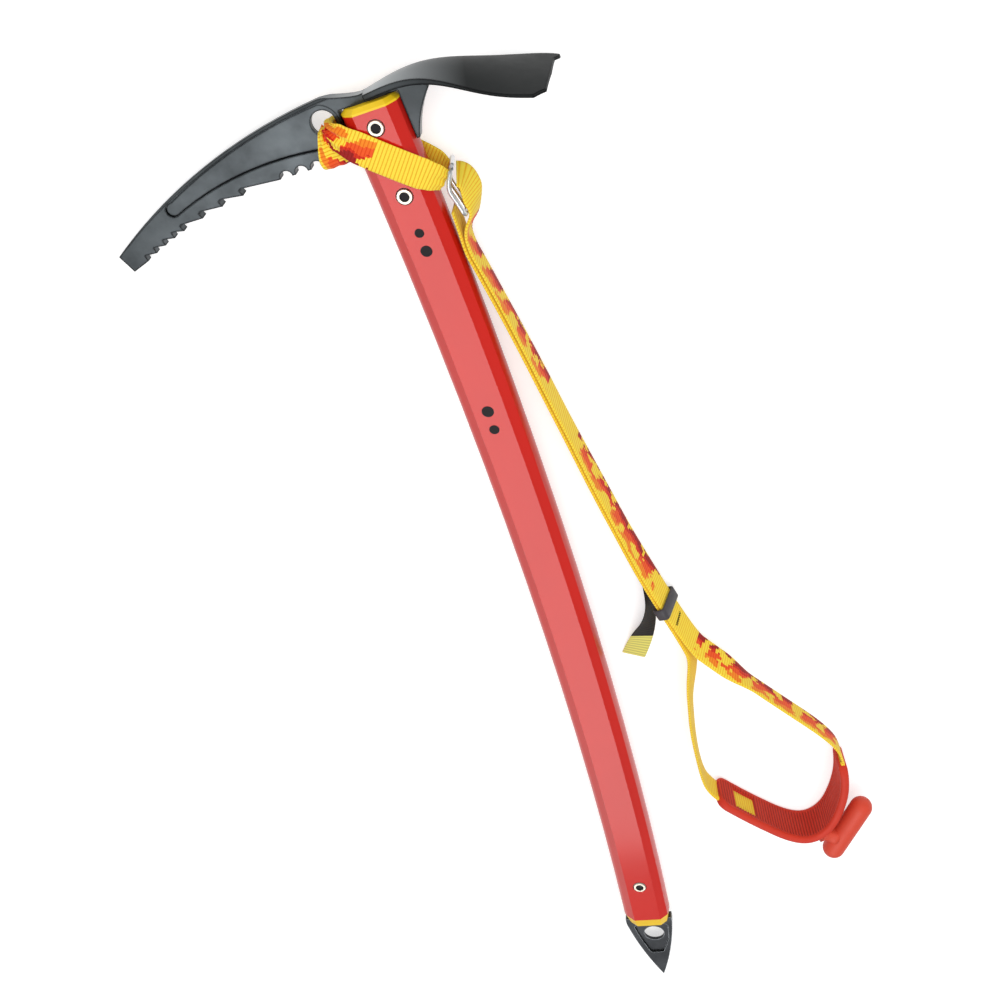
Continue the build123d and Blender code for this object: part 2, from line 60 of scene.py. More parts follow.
# The axe's own frame on the floor: its datum, its fore-and-aft, lengthwise and thickness directions.
AXE_DATUM = Vector((33.4974, 320.630, 21.6604))
AXE_AFT = Vector((0.992696, -0.000916, 0.120638))
AXE_UP = Vector((0.0, 0.999971, 0.007596))
AXE_OUT = Vector((-0.120642, -0.007540, 0.992667))
UPRIGHT = Vector((0, 0, 1))
# Added to the share across a strap on its inner face, so that a weave can tell its two faces apart.
INNER_FACE = 3.0

# Lean of a standing strap's top edge by distance along it: pairs of millimetres and degrees.
LeanTable = Sequence[tuple[float, float]]
# Width direction of a strap, from the distance along it in metres and its heading there.
AcrossRule = Callable[[float, Vector], Vector]


class Weave(Enum):
    """What the outer face of a length of webbing shows."""

    PLAIN = 0
    FLAMES = 1


def linear(hex_colour: str) -> tuple[float, float, float, float]:
    """Turn an sRGB hex colour into Blender's linear colour.

    Args:
        hex_colour: six hex digits, such as "c8102e".

    Returns:
        Linear red, green, blue and an alpha of 1.
    """
    channels = [int(hex_colour[i : i + 2], 16) / 255 for i in (0, 2, 4)]
    decoded = [c / 12.92 if c <= 0.04045 else ((c + 0.055) / 1.055) ** 2.4 for c in channels]
    return (decoded[0], decoded[1], decoded[2], 1.0)


def axe_point(aft: float, up: float, out: float) -> Vector:
    """Place of a point given in the axe's own frame.

    Args:
        aft: millimetres toward the adze from the centre of the shaft's top end.
        up: millimetres along the shaft, toward the head.
        out: millimetres across the axe's thickness.

    Returns:
        The point in the row frame, in metres.
    """
    return (AXE_DATUM + AXE_AFT * aft + AXE_UP * up + AXE_OUT * out) * MM


def floor_points(route: Sequence[tuple[float, float, float]]) -> list[Vector]:
    """Turn floor-plan points in millimetres into places in metres."""
    return [(LEASH_DATUM + Vector(point)) * MM for point in route]


def between(table: Sequence[tuple[float, float]], at: float) -> float:
    """Read a table of places and values, easing between its rows.

    Args:
        table: pairs of place and value, in rising order of place.
        at: the place to read.

    Returns:
        The value there.
    """
    if at <= table[0][0]:
        return table[0][1]
    for (low, first), (high, second) in zip(table, table[1:]):
        if at <= high:
            share = (at - low) / (high - low)
            return first + (second - first) * share * share * (3 - 2 * share)
    return table[-1][1]


def feed(tree: bpy.types.NodeTree, target: bpy.types.Node, **links: object) -> None:
    """Set or link some inputs of a shader node.

    Args:
        tree: the node tree that it is in.
        target: the node.
        **links: input values or output sockets, by input name with underscores for spaces, or i0, i1 for
            inputs by place.
    """
    for name, value in links.items():
        by_place = name[0] == "i" and name[1:].isdigit()
        socket = target.inputs[int(name[1:])] if by_place else target.inputs[name.replace("_", " ")]
        if isinstance(value, bpy.types.NodeSocket):
            tree.links.new(value, socket)
        else:
            socket.default_value = value


def node(
    tree: bpy.types.NodeTree, kind: str, settings: dict[str, object] | None = None, **links: object
) -> bpy.types.Node:
    """Add one shader node with its settings and links.

    Args:
        tree: node tree to add it to.
        kind: the node's bl_idname.
        settings: attributes of the node to set, by name.
        **links: its inputs, as feed takes them.

    Returns:
        The new node.
    """
    made = tree.nodes.new(kind)
    for name, value in (settings or {}).items():
        setattr(made, name, value)
    feed(tree, made, **links)
    return made


def new_material(name: str) -> tuple[bpy.types.Material, bpy.types.NodeTree, bpy.types.Node]:
    """Start a material with a Principled surface.

    Args:
        name: the material's name.

    Returns:
        The material, its node tree and its Principled node.
    """
    material = bpy.data.materials.new(name)
    material.use_nodes = True
    tree = material.node_tree
    return material, tree, tree.nodes["Principled BSDF"]


def set_ramp(ramp: bpy.types.Node, stops: Sequence[tuple[float, str]]) -> None:
    """Give a colour ramp its stops.

    Args:
        ramp: the ColorRamp node.
        stops: pairs of place and sRGB hex colour.
    """
    elements = ramp.color_ramp.elements
    while len(elements) < len(stops):
        elements.new(0.5)
    for element, (place, colour) in zip(elements, stops):
        element.position = place
        element.color = linear(colour)


def dress(obj: bpy.types.Object, material: bpy.types.Material) -> None:
    """Give a piece one material on all its faces."""
    obj.data.materials.clear()
    obj.data.materials.append(material)


def new_piece(
    name: str,
    places: Sequence[Vector],
    faces: Sequence[Sequence[int]],
    uvs: Sequence[Sequence[tuple[float, float]]] | None = None,
    body: str = "axe",
) -> bpy.types.Object:
    """Make a smooth-shaded mesh object.

    Args:
        name: the piece's name.
        places: vertex places, in metres.
        faces: vertex numbers of each face.
        uvs: texture places of each face's corners, where the finish needs them.
        body: the body that it rides on.

    Returns:
        The new object.
    """
    mesh = bpy.data.meshes.new(name)
    mesh.from_pydata([tuple(p) for p in places], [], [tuple(f) for f in faces])
    if uvs is not None:
        layer = mesh.uv_layers.new(name="webbing")
        corners = [uv for face in uvs for uv in face]
        for loop, uv in zip(layer.data, corners):
            loop.uv = uv
    mesh.shade_smooth()
    work = bmesh.new()
    work.from_mesh(mesh)
    bmesh.ops.recalc_face_normals(work, faces=work.faces)
    work.to_mesh(mesh)
    work.free()
    piece = bpy.data.objects.new(name, mesh)
    bpy.context.scene.collection.objects.link(piece)
    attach(piece, body)
    log.info("made %s with %d faces", name, len(faces))
    return piece


def ring_faces(count: int, size: int, start: int = 0, closed: bool = False) -> list[list[int]]:
    """Faces that join a run of rings, and close its two ends or join its last ring to its first.

    Args:
        count: number of rings.
        size: points in each.
        start: number of the first point.
        closed: whether the run comes back to its first ring.

    Returns:
        The faces.
    """
    faces = []
    for k in range(count if closed else count - 1):
        here, there = start + k * size, start + (k + 1) % count * size
        for i in range(size):
            after = (i + 1) % size
            faces.append([here + i, here + after, there + after, there + i])
    if not closed:
        faces.append([start + i for i in range(size)])
        faces.append([start + (count - 1) * size + i for i in reversed(range(size))])
    return faces


class Line:
    """Smooth line that a spline draws through its control points, measured along its length."""

    def __init__(self, name: str, route: Sequence[Vector]) -> None:
        """Draw the spline and read its points.

        Args:
            name: name for the spline while it is drawn.
            route: its control points, in metres.
        """
        curve = bpy.data.curves.new(name, "CURVE")
        curve.dimensions = "3D"
        curve.resolution_u = 24
        spline = curve.splines.new("NURBS")
        spline.points.add(len(route) - 1)
        for point, place in zip(spline.points, route):
            point.co = (*place, 1.0)
        spline.order_u = 3
        spline.use_endpoint_u = True
        holder = bpy.data.objects.new(name, curve)
        bpy.context.scene.collection.objects.link(holder)
        drawn = bpy.data.meshes.new_from_object(holder)
        self.points = [v.co.copy() for v in drawn.vertices]
        bpy.data.objects.remove(holder)
        bpy.data.curves.remove(curve)
        bpy.data.meshes.remove(drawn)
        self.marks = [0.0]
        for a, b in zip(self.points, self.points[1:]):
            self.marks.append(self.marks[-1] + (b - a).length)

    @property
    def length(self) -> float:
        """Length of the line, in metres."""
        return self.marks[-1]

    def at(self, mark: float) -> tuple[Vector, Vector]:
        """Place and heading at a distance along the line.

        Args:
            mark: distance from its start, in metres.

        Returns:
            The place and the unit heading there.
        """
        mark = min(max(mark, 0.0), self.length)
        low, high = 0, len(self.marks) - 1
        while high - low > 1:
            middle = (low + high) // 2
            low, high = (middle, high) if self.marks[middle] <= mark else (low, middle)
        share = (mark - self.marks[low]) / max(self.marks[high] - self.marks[low], 1e-9)
        place = self.points[low].lerp(self.points[high], share)
        before = self.points[max(low - 1, 0)]
        after = self.points[min(high + 1, len(self.points) - 1)]
        first = self.points[high] - before
        second = after - self.points[low]
        return place, first.lerp(second, share).normalized()

    def nearest(self, place: Vector) -> float:
        """Distance along the line of its point nearest to a place."""
        gaps = [(p - place).length for p in self.points]
        return self.marks[gaps.index(min(gaps))]


def leaning(table: LeanTable) -> AcrossRule:
    """Rule for a strap that stands on its edge and leans to the right of its heading.

    Args:
        table: degrees of lean by millimetres along the strap; one row gives it the same lean all along.

    Returns:
        The rule, which gives the strap's width direction.
    """

    def across(mark: float, heading: Vector) -> Vector:
        """Width direction of the strap.

        Args:
            mark: distance along it, in metres.
            heading: which way it runs there.

        Returns:
            The direction from its lower edge to its upper one.
        """
        lean = math.radians(between(table, mark / MM))
        right = heading.cross(UPRIGHT).normalized()
        return UPRIGHT * math.cos(lean) + right * math.sin(lean)

    return across


@dataclass(frozen=True)
class Webbing:
    """Flat woven strap with ribs across it and rounded edges; sizes in millimetres."""

    width: float = 18.0
    thickness: float = 1.7
    rib_pitch: float = 1.9
    rib_depth: float = 0.26
    steps_per_rib: int = 4
    points_across: int = 6
    # Share of the width that is flat, a place on the rounded edge beyond it, and the share of the thickness
    # that the edge loses.
    flat_share: float = 0.86
    edge_share: float = 0.965
    edge_loss: float = 0.72
    # How many pleats it makes where it is drawn together.
    pleats: float = 2.5

    def shares(self) -> list[float]:
        """Places across one face, from -1 to 1, closer together at the edges."""
        across = 2 * self.flat_share
        flat = [-self.flat_share + across * k / self.points_across for k in range(self.points_across + 1)]
        return [-1.0, -self.edge_share, *flat, self.edge_share, 1.0]

    def lay(
        self,
        name: str,
        line: Line,
        across: AcrossRule,
        aside: float = 0.0,
        halves: Sequence[tuple[float, float]] | None = None,
        folds: Sequence[tuple[float, float]] | None = None,
    ) -> bpy.types.Object:
        """Lay the webbing along a line.

        Args:
            name: the piece's name.
            line: the line it follows.
            across: rule for its width direction.
            aside: shift to the right of its heading, in millimetres.
            halves: half its width by distance along it, where it is drawn together.
            folds: height of its pleats by distance along it.

        Returns:
            The new piece.
        """
        face = self.shares()
        ring = [*face, *face[-2:0:-1]]
        count = max(2, round(line.length / MM / self.rib_pitch * self.steps_per_rib))
        places: list[Vector] = []
        for k in range(count + 1):
            mark = line.length * k / count
            run = mark / MM
            place, heading = line.at(mark)
            wide = across(mark, heading)
            wide = (wide - heading * wide.dot(heading)).normalized()
            right = heading.cross(wide)
            half = between(halves, run) if halves else self.width / 2
            pleat = between(folds, run) if folds else 0.0
            groove = self.rib_depth * (1 - abs(math.cos(math.pi * k / self.steps_per_rib)))
            for index, share in enumerate(ring):
                beyond = max(0.0, (abs(share) - self.flat_share) / (1 - self.flat_share))
                rise = (self.thickness / 2 - groove) * (1 - beyond**2 * self.edge_loss)
                bend = pleat * math.sin(math.pi * self.pleats * (share + 1))
                shift = aside + bend + (-rise if index < len(face) else rise)
                places.append(place + (wide * half * share + right * shift) * MM)
        uvs: list[list[tuple[float, float]]] = []
        for k in range(count):
            near, far = k / self.steps_per_rib, (k + 1) / self.steps_per_rib
            for index in range(len(ring)):
                base = 0.0 if index < len(face) - 1 else INNER_FACE
                low, high = (base + (ring[i] + 1) / 2 for i in (index, (index + 1) % len(ring)))
                uvs.append([(near, low), (near, high), (far, high), (far, low)])
        uvs += [[(0.0, INNER_FACE + 0.5)] * len(ring)] * 2
        return new_piece(name, places, ring_faces(count + 1, len(ring)), uvs)


@dataclass(frozen=True)
class ForgedSteel:
    """Chromium-molybdenum steel, forged, heat treated and bead blasted.

    Blasting gives it a dull, even grey; its edges take a colour of their own, painted shade on the head and pale
    wear on the spike.
    """

    name: str
    colour: str
    # Colour along every edge: near black on the head, where it is painted shade, and pale on the spike, where it
    # is wear.
    edge_shade_and_wear_colour: str
    stain_colour: str = "0e0f10"
    roughness: float = 0.42
    edge_mm: float = 1.5
    grain_mm: float = 0.5
    cloud_mm: float = 22.0
    # Painted light and shade on the adze, and how strongly they show. Aft of the shaft, in metres, a painted
    # highlight lies on its faces that look up or aft from the first place on, and painted shade covers it more
    # and more from the second place to the third.
    adze_light_and_shade: float = 0.0
    highlight_from: float = 0.010
    shade_from: float = 0.038
    shade_to: float = 0.084
    painted_highlight_colour: str = "a2a6a8"
    painted_shade_colour: str = "2b2d2d"

    def make(self) -> bpy.types.Material:
        """Build the material.

        Returns:
            The material.
        """
        material, tree, surface = new_material(self.name)
        place = node(tree, "ShaderNodeTexCoord").outputs["Object"]
        normal = node(tree, "ShaderNodeNewGeometry").outputs["Normal"]
        # Blasting pits are a tenth of a millimetre; they are drawn at half a millimetre so that they show.
        grain = node(tree, "ShaderNodeTexNoise", Vector=place, Scale=1 / (self.grain_mm * MM), Detail=2.0)
        bump = node(tree, "ShaderNodeBump", Strength=0.16, Distance=0.05 * MM, Height=grain.outputs["Fac"])
        cloud = node(tree, "ShaderNodeTexNoise", Vector=place, Scale=1 / (self.cloud_mm * MM), Detail=4.0,
                     Roughness=0.6)
        tone = node(tree, "ShaderNodeMapRange", Value=cloud.outputs["Fac"], From_Min=0.3, From_Max=0.7,
                    To_Min=0.0, To_Max=0.35)
        rough = node(tree, "ShaderNodeMapRange", Value=cloud.outputs["Fac"], From_Min=0.3, From_Max=0.7,
                     To_Min=self.roughness - 0.05, To_Max=self.roughness + 0.06)
        # An edge is where the normal of a rounded copy of the shape turns away from the shape's own; the edge
        # colour laid there is painted shade on the head.
        rounded = node(tree, "ShaderNodeBevel", {"samples": 6}, Radius=self.edge_mm * MM)
        agree = node(tree, "ShaderNodeVectorMath", {"operation": "DOT_PRODUCT"}, i0=rounded.outputs[0],
                     i1=normal)
        edge = node(tree, "ShaderNodeMapRange", Value=agree.outputs["Value"], From_Min=0.996, From_Max=0.95,
                    To_Max=0.9)
        # A painted highlight lies on the root of the adze where it faces up or aft; painted shade darkens the
        # adze beyond it.
        upward = node(tree, "ShaderNodeVectorMath", {"operation": "DOT_PRODUCT"}, i0=normal, i1=AXE_UP)
        aftward = node(tree, "ShaderNodeVectorMath", {"operation": "DOT_PRODUCT"}, i0=normal, i1=AXE_AFT)
        outer = node(tree, "ShaderNodeMath", {"operation": "MAXIMUM"}, i0=upward.outputs["Value"],
                     i1=aftward.outputs["Value"])
        lit_facing = node(tree, "ShaderNodeMapRange", Value=outer.outputs[0], From_Min=0.2, From_Max=0.6)
        aft = node(tree, "ShaderNodeSeparateXYZ", Vector=place).outputs["X"]
        highlight_reach = node(tree, "ShaderNodeMapRange", Value=aft, From_Min=self.highlight_from,
                       From_Max=self.shade_from, To_Max=self.adze_light_and_shade)
        painted_highlight = node(tree, "ShaderNodeMath", {"operation": "MULTIPLY"}, i0=highlight_reach.outputs["Result"],
                    i1=lit_facing.outputs["Result"])
        painted_shade = node(tree, "ShaderNodeMapRange", Value=aft, From_Min=self.shade_from, From_Max=self.shade_to,
                     To_Max=self.adze_light_and_shade)
        shown: object = linear(self.colour)
        # Laid over the steel's colour in turn: random stains, the painted highlight, the painted shade and the
        # edge colour.
        for mask, colour in (
            (tone.outputs["Result"], self.stain_colour), (painted_highlight.outputs[0], self.painted_highlight_colour),
            (painted_shade.outputs["Result"], self.painted_shade_colour), (edge.outputs["Result"], self.edge_shade_and_wear_colour),
        ):
            shown = node(tree, "ShaderNodeMix", {"data_type": "RGBA"}, i0=mask, i6=shown,
                         i7=linear(colour)).outputs[2]
        # Under the painted shade the steel is made non-metallic, so that it does not mirror at a low angle.
        bare = node(tree, "ShaderNodeMapRange", Value=painted_shade.outputs["Result"], To_Min=1.0, To_Max=0.0)
        feed(tree, surface, Base_Color=shown, Metallic=bare.outputs["Result"],
             Roughness=rough.outputs["Result"], Normal=bump.outputs["Normal"], Specular_IOR_Level=0.03)
        return material


@dataclass(frozen=True)
class AnodisedTube:
    """Drawn aluminium tube, dyed and anodised.

    The dye gives a deep even colour and the sealed skin over it a clear gloss.
    """

    name: str = "anodised_tube"
    colour: str = "d21e12"
    shade: str = "9c120f"
    grain_mm: float = 0.9
    shade_mm: float = 45.0
    roughness: float = 0.36
    shine: float = 0.12
    coat_weight: float = 0.25
    coat_ior: float = 1.77
    coat_roughness: float = 0.1

    def make(self) -> bpy.types.Material:
        """Build the material.

        Returns:
            The material.
        """
        material, tree, surface = new_material(self.name)
        place = node(tree, "ShaderNodeTexCoord").outputs["Object"]
        grain = node(tree, "ShaderNodeTexNoise", Vector=place, Scale=1 / (self.grain_mm * MM), Detail=2.0)
        shade = node(tree, "ShaderNodeTexNoise", Vector=place, Scale=1 / (self.shade_mm * MM), Detail=2.0)
        bump = node(tree, "ShaderNodeBump", Strength=0.05, Distance=0.05 * MM, Height=grain.outputs["Fac"])
        tone = node(tree, "ShaderNodeMapRange", Value=shade.outputs["Fac"], From_Min=0.3, From_Max=0.7,
                    To_Min=0.0, To_Max=0.12)
        dyed = node(tree, "ShaderNodeMix", {"data_type": "RGBA"}, i0=tone.outputs["Result"],
                    i6=linear(self.colour), i7=linear(self.shade))
        feed(tree, surface, Base_Color=dyed.outputs[2], Roughness=self.roughness,
             Normal=bump.outputs["Normal"], Specular_IOR_Level=self.shine, Coat_Weight=self.coat_weight,
             Coat_IOR=self.coat_ior, Coat_Roughness=self.coat_roughness)
        return material


@dataclass(frozen=True)
class Moulded:
    """Injection-moulded nylon or rubber.

    The tool's spark-eroded skin leaves a fine, even texture that breaks up its gloss.
    """

    name: str
    colour: str
    shade: str
    roughness: float = 0.45
    grain_mm: float = 0.6
    cloud_mm: float = 14.0
    depth: float = 0.12
    shine: float = 0.3
    # Colour of painted shade at the bottom of its grooves, if it has any.
    groove: str = ""

    def make(self) -> bpy.types.Material:
        """Build the material.

        Returns:
            The material.
        """
        material, tree, surface = new_material(self.name)
        coords = node(tree, "ShaderNodeTexCoord")
        place = coords.outputs["Object"]
        grain = node(tree, "ShaderNodeTexNoise", Vector=place, Scale=1 / (self.grain_mm * MM), Detail=2.0)
        cloud = node(tree, "ShaderNodeTexNoise", Vector=place, Scale=1 / (self.cloud_mm * MM), Detail=3.0)
        bump = node(tree, "ShaderNodeBump", Strength=self.depth, Distance=0.06 * MM,
                    Height=grain.outputs["Fac"])
        tone = node(tree, "ShaderNodeMapRange", Value=cloud.outputs["Fac"], From_Min=0.35, From_Max=0.75,
                    To_Min=0.0, To_Max=0.5)
        shown = node(tree, "ShaderNodeMix", {"data_type": "RGBA"}, i0=tone.outputs["Result"],
                     i6=linear(self.colour), i7=linear(self.shade))
        if self.groove:
            # Painted shade, deeper toward the bottom of each groove.
            depth = node(tree, "ShaderNodeSeparateXYZ", Vector=coords.outputs["UV"]).outputs["X"]
            groove_shade = node(tree, "ShaderNodeMapRange", Value=depth, From_Min=0.25, From_Max=1.0, To_Max=0.8)
            shown = node(tree, "ShaderNodeMix", {"data_type": "RGBA"}, i0=groove_shade.outputs["Result"],
                         i6=shown.outputs[2], i7=linear(self.groove))
        rough = node(tree, "ShaderNodeMapRange", Value=cloud.outputs["Fac"], From_Min=0.3, From_Max=0.7,
                     To_Min=self.roughness - 0.05, To_Max=self.roughness + 0.05)
        feed(tree, surface, Base_Color=shown.outputs[2], Roughness=rough.outputs["Result"],
             Normal=bump.outputs["Normal"], Specular_IOR_Level=self.shine)
        return material


@dataclass(frozen=True)
class BrightMetal:
    """Rolled steel with a nickel plating: bright, with a little rub from use."""

    name: str
    colour: str
    roughness: float = 0.26
    wear_mm: float = 1.6

    def make(self) -> bpy.types.Material:
        """Build the material.

        Returns:
            The material.
        """
        material, tree, surface = new_material(self.name)
        place = node(tree, "ShaderNodeTexCoord").outputs["Object"]
        wear = node(tree, "ShaderNodeTexNoise", Vector=place, Scale=1 / (self.wear_mm * MM), Detail=3.0)
        rough = node(tree, "ShaderNodeMapRange", Value=wear.outputs["Fac"], From_Min=0.3, From_Max=0.7,
                     To_Min=self.roughness - 0.02, To_Max=self.roughness + 0.04)
        feed(tree, surface, Base_Color=linear(self.colour), Metallic=1.0, Roughness=rough.outputs["Result"])
        return material


@dataclass(frozen=True)
class WovenNylon:
    """Nylon webbing, woven on a narrow loom with a cross rib.

    Each rib is a bundle of weft under the coloured warp, so the colour changes in steps of one rib; the furrows
    between ribs are darkened with painted shade.
    """

    name: str
    weave: Weave = Weave.PLAIN
    ground: str = "ffe448"
    # Painted shade laid into the furrows between ribs.
    furrow_shade: str = "ebba34"
    # Runs of ribs on which the outer face shows its coloured warp.
    runs: tuple[tuple[float, float], ...] = ((0.0, 1000.0),)
    # Half the ribs from one tongue to the next, how many ribs a tongue leans over the width, and how much
    # of the face stays plain.
    tongue_ribs: float = 5.4
    slant: float = 7.0
    cover: float = 0.35
    # The warp's colours from the tongues' roots to their tips, where the ground begins.
    tints: tuple[tuple[float, str], ...] = (
        (0.0, "a01c1c"), (0.2, "d8301c"), (0.36, "f45c24"), (0.62, "fb8f24"),
    )
    tips: float = 0.84
    # How fast the ragged outline changes along and across the strap.
    ragged_grid: tuple[float, float, float] = (0.2, 2.0, 1.0)
    thread_mm: float = 0.5

    def flames(
        self, tree: bpy.types.NodeTree, along: bpy.types.NodeSocket, over: bpy.types.NodeSocket
    ) -> tuple[bpy.types.NodeSocket, bpy.types.NodeSocket]:
        """Coloured tongues that rise from one edge.

        Args:
            tree: the material's node tree.
            along: number of ribs along the strap.
            over: share across the strap, 0 to 1 on the outer face and from 3 on the inner one.

        Returns:
            The colour, and where it shows.
        """
        # Tongues: a zigzag along the ribs, leaned over by the place across and made ragged by noise.
        rib = node(tree, "ShaderNodeMath", {"operation": "FLOOR"}, i0=along)
        leaned = node(tree, "ShaderNodeMath", {"operation": "MULTIPLY_ADD"}, i0=over, i1=self.slant,
                      i2=rib.outputs[0])
        tongue = node(tree, "ShaderNodeMath", {"operation": "PINGPONG"}, i0=leaned.outputs[0],
                      i1=self.tongue_ribs)
        tongue = node(tree, "ShaderNodeMath", {"operation": "DIVIDE"}, i0=tongue.outputs[0],
                      i1=1.8 * self.tongue_ribs)
        grid = node(tree, "ShaderNodeCombineXYZ", X=rib.outputs[0], Y=over)
        spread = node(tree, "ShaderNodeVectorMath", {"operation": "MULTIPLY"}, i0=grid.outputs[0],
                      i1=self.ragged_grid)
        cloud = node(tree, "ShaderNodeTexNoise", {"noise_dimensions": "2D"}, Vector=spread.outputs[0],
                     Scale=1.0, Detail=2.0, Roughness=0.6)
        ragged = node(tree, "ShaderNodeMath", {"operation": "MULTIPLY_ADD"}, i0=cloud.outputs["Fac"], i1=1.9,
                      i2=tongue.outputs[0])
        shape = node(tree, "ShaderNodeMath", {"operation": "GREATER_THAN"}, i0=ragged.outputs[0],
                     i1=0.8 + self.cover)
        # Colours: one band after another from edge to edge, pushed to and fro by the same noise.
        level = node(tree, "ShaderNodeMath", {"operation": "MULTIPLY_ADD"}, i0=cloud.outputs["Fac"], i1=-0.55,
                     i2=over)
        level = node(tree, "ShaderNodeMath", {"operation": "ADD"}, i0=level.outputs[0], i1=0.28)
        ramp = node(tree, "ShaderNodeValToRGB", Fac=level.outputs[0])
        ramp.color_ramp.interpolation = "CONSTANT"
        set_ramp(ramp, (*self.tints, (self.tips, self.ground)))
        # They show on the outer face only, and there only on the runs.
        mask = node(tree, "ShaderNodeMath", {"operation": "LESS_THAN"}, i0=over, i1=INNER_FACE / 2)
        mask = node(tree, "ShaderNodeMath", {"operation": "MULTIPLY"}, i0=mask.outputs[0],
                    i1=shape.outputs[0])
        within = None
        for first, last in self.runs:
            middle, reach = (first + last) / 2, (last - first) / 2
            run = node(tree, "ShaderNodeMath", {"operation": "COMPARE"}, i0=along, i1=middle, i2=reach)
            within = run if within is None else node(
                tree, "ShaderNodeMath", {"operation": "MAXIMUM"}, i0=within.outputs[0], i1=run.outputs[0])
        mask = node(tree, "ShaderNodeMath", {"operation": "MULTIPLY"}, i0=mask.outputs[0],
                    i1=within.outputs[0])
        return ramp.outputs["Color"], mask.outputs[0]

    def make(self) -> bpy.types.Material:
        """Build the material.

        Returns:
            The material.
        """
        material, tree, surface = new_material(self.name)
        coords = node(tree, "ShaderNodeTexCoord")
        spot = node(tree, "ShaderNodeSeparateXYZ", Vector=coords.outputs["UV"])
        along, over = spot.outputs["X"], spot.outputs["Y"]
        turn = node(tree, "ShaderNodeMath", {"operation": "MULTIPLY"}, i0=along, i1=math.pi)
        wave = node(tree, "ShaderNodeMath", {"operation": "COSINE"}, i0=turn.outputs[0])
        ridge = node(tree, "ShaderNodeMath", {"operation": "ABSOLUTE"}, i0=wave.outputs[0])
        ridge = node(tree, "ShaderNodeMapRange", Value=ridge.outputs[0], From_Min=0.05, From_Max=0.65)
        colour: object = linear(self.ground)
        if self.weave is Weave.FLAMES:
            tint, mask = self.flames(tree, along, over)
            colour = node(tree, "ShaderNodeMix", {"data_type": "RGBA"}, i0=mask, i6=linear(self.ground),
                          i7=tint).outputs[2]
        # Painted shade for the furrows: a darker copy of the colour, which shows away from the rib crests.
        deep = node(tree, "ShaderNodeMix", {"data_type": "RGBA", "blend_type": "MULTIPLY"}, i0=1.0,
                    i6=colour, i7=linear(self.furrow_shade))
        # Single threads are 0.3 mm; they are drawn at 0.5 mm so that they show.
        thread = node(tree, "ShaderNodeTexNoise", Vector=coords.outputs["Object"],
                      Scale=1 / (self.thread_mm * MM), Detail=2.0)
        lift = node(tree, "ShaderNodeMapRange", Value=thread.outputs["Fac"], From_Min=0.3, From_Max=0.7,
                    To_Min=-0.18, To_Max=0.1)
        height = node(tree, "ShaderNodeMath", {"operation": "ADD", "use_clamp": True},
                      i0=ridge.outputs["Result"], i1=lift.outputs["Result"])
        shown = node(tree, "ShaderNodeMix", {"data_type": "RGBA"}, i0=height.outputs[0], i6=deep.outputs[2],
                     i7=colour)
        bump = node(tree, "ShaderNodeBump", Strength=0.35, Distance=0.12 * MM, Height=thread.outputs["Fac"])
        feed(tree, surface, Base_Color=shown.outputs[2], Normal=bump.outputs["Normal"], Roughness=0.78,
             Specular_IOR_Level=0.3, Sheen_Weight=0.15, Sheen_Roughness=0.4)
        return material


@dataclass(frozen=True)
class TagCloth:
    """Black nylon tape with a pale woven end; its ribs run across it, a little lighter than the ground."""

    pale_from: float
    name: str = "tag_tape"
    ground: str = "1d1c1f"
    pale: str = "eee97a"
    rib: str = "3a393c"
    roughness: float = 0.8

    def make(self) -> bpy.types.Material:
        """Build the material.

        Returns:
            The material.
        """
        material, tree, surface = new_material(self.name)
        coords = node(tree, "ShaderNodeTexCoord")
        along = node(tree, "ShaderNodeSeparateXYZ", Vector=coords.outputs["UV"]).outputs["X"]
        pale = node(tree, "ShaderNodeMath", {"operation": "GREATER_THAN"}, i0=along, i1=self.pale_from)
        turn = node(tree, "ShaderNodeMath", {"operation": "MULTIPLY"}, i0=along, i1=math.pi)
        wave = node(tree, "ShaderNodeMath", {"operation": "SINE"}, i0=turn.outputs[0])
        ridge = node(tree, "ShaderNodeMapRange", Value=wave.outputs[0], From_Min=-1.0, From_Max=1.0,
                     To_Min=0.0, To_Max=0.35)
        cloth = node(tree, "ShaderNodeMix", {"data_type": "RGBA"}, i0=pale.outputs[0], i6=linear(self.ground),
                     i7=linear(self.pale))
        shown = node(tree, "ShaderNodeMix", {"data_type": "RGBA"}, i0=ridge.outputs["Result"],
                     i6=cloth.outputs[2], i7=linear(self.rib))
        feed(tree, surface, Base_Color=shown.outputs[2], Roughness=self.roughness)
        return material


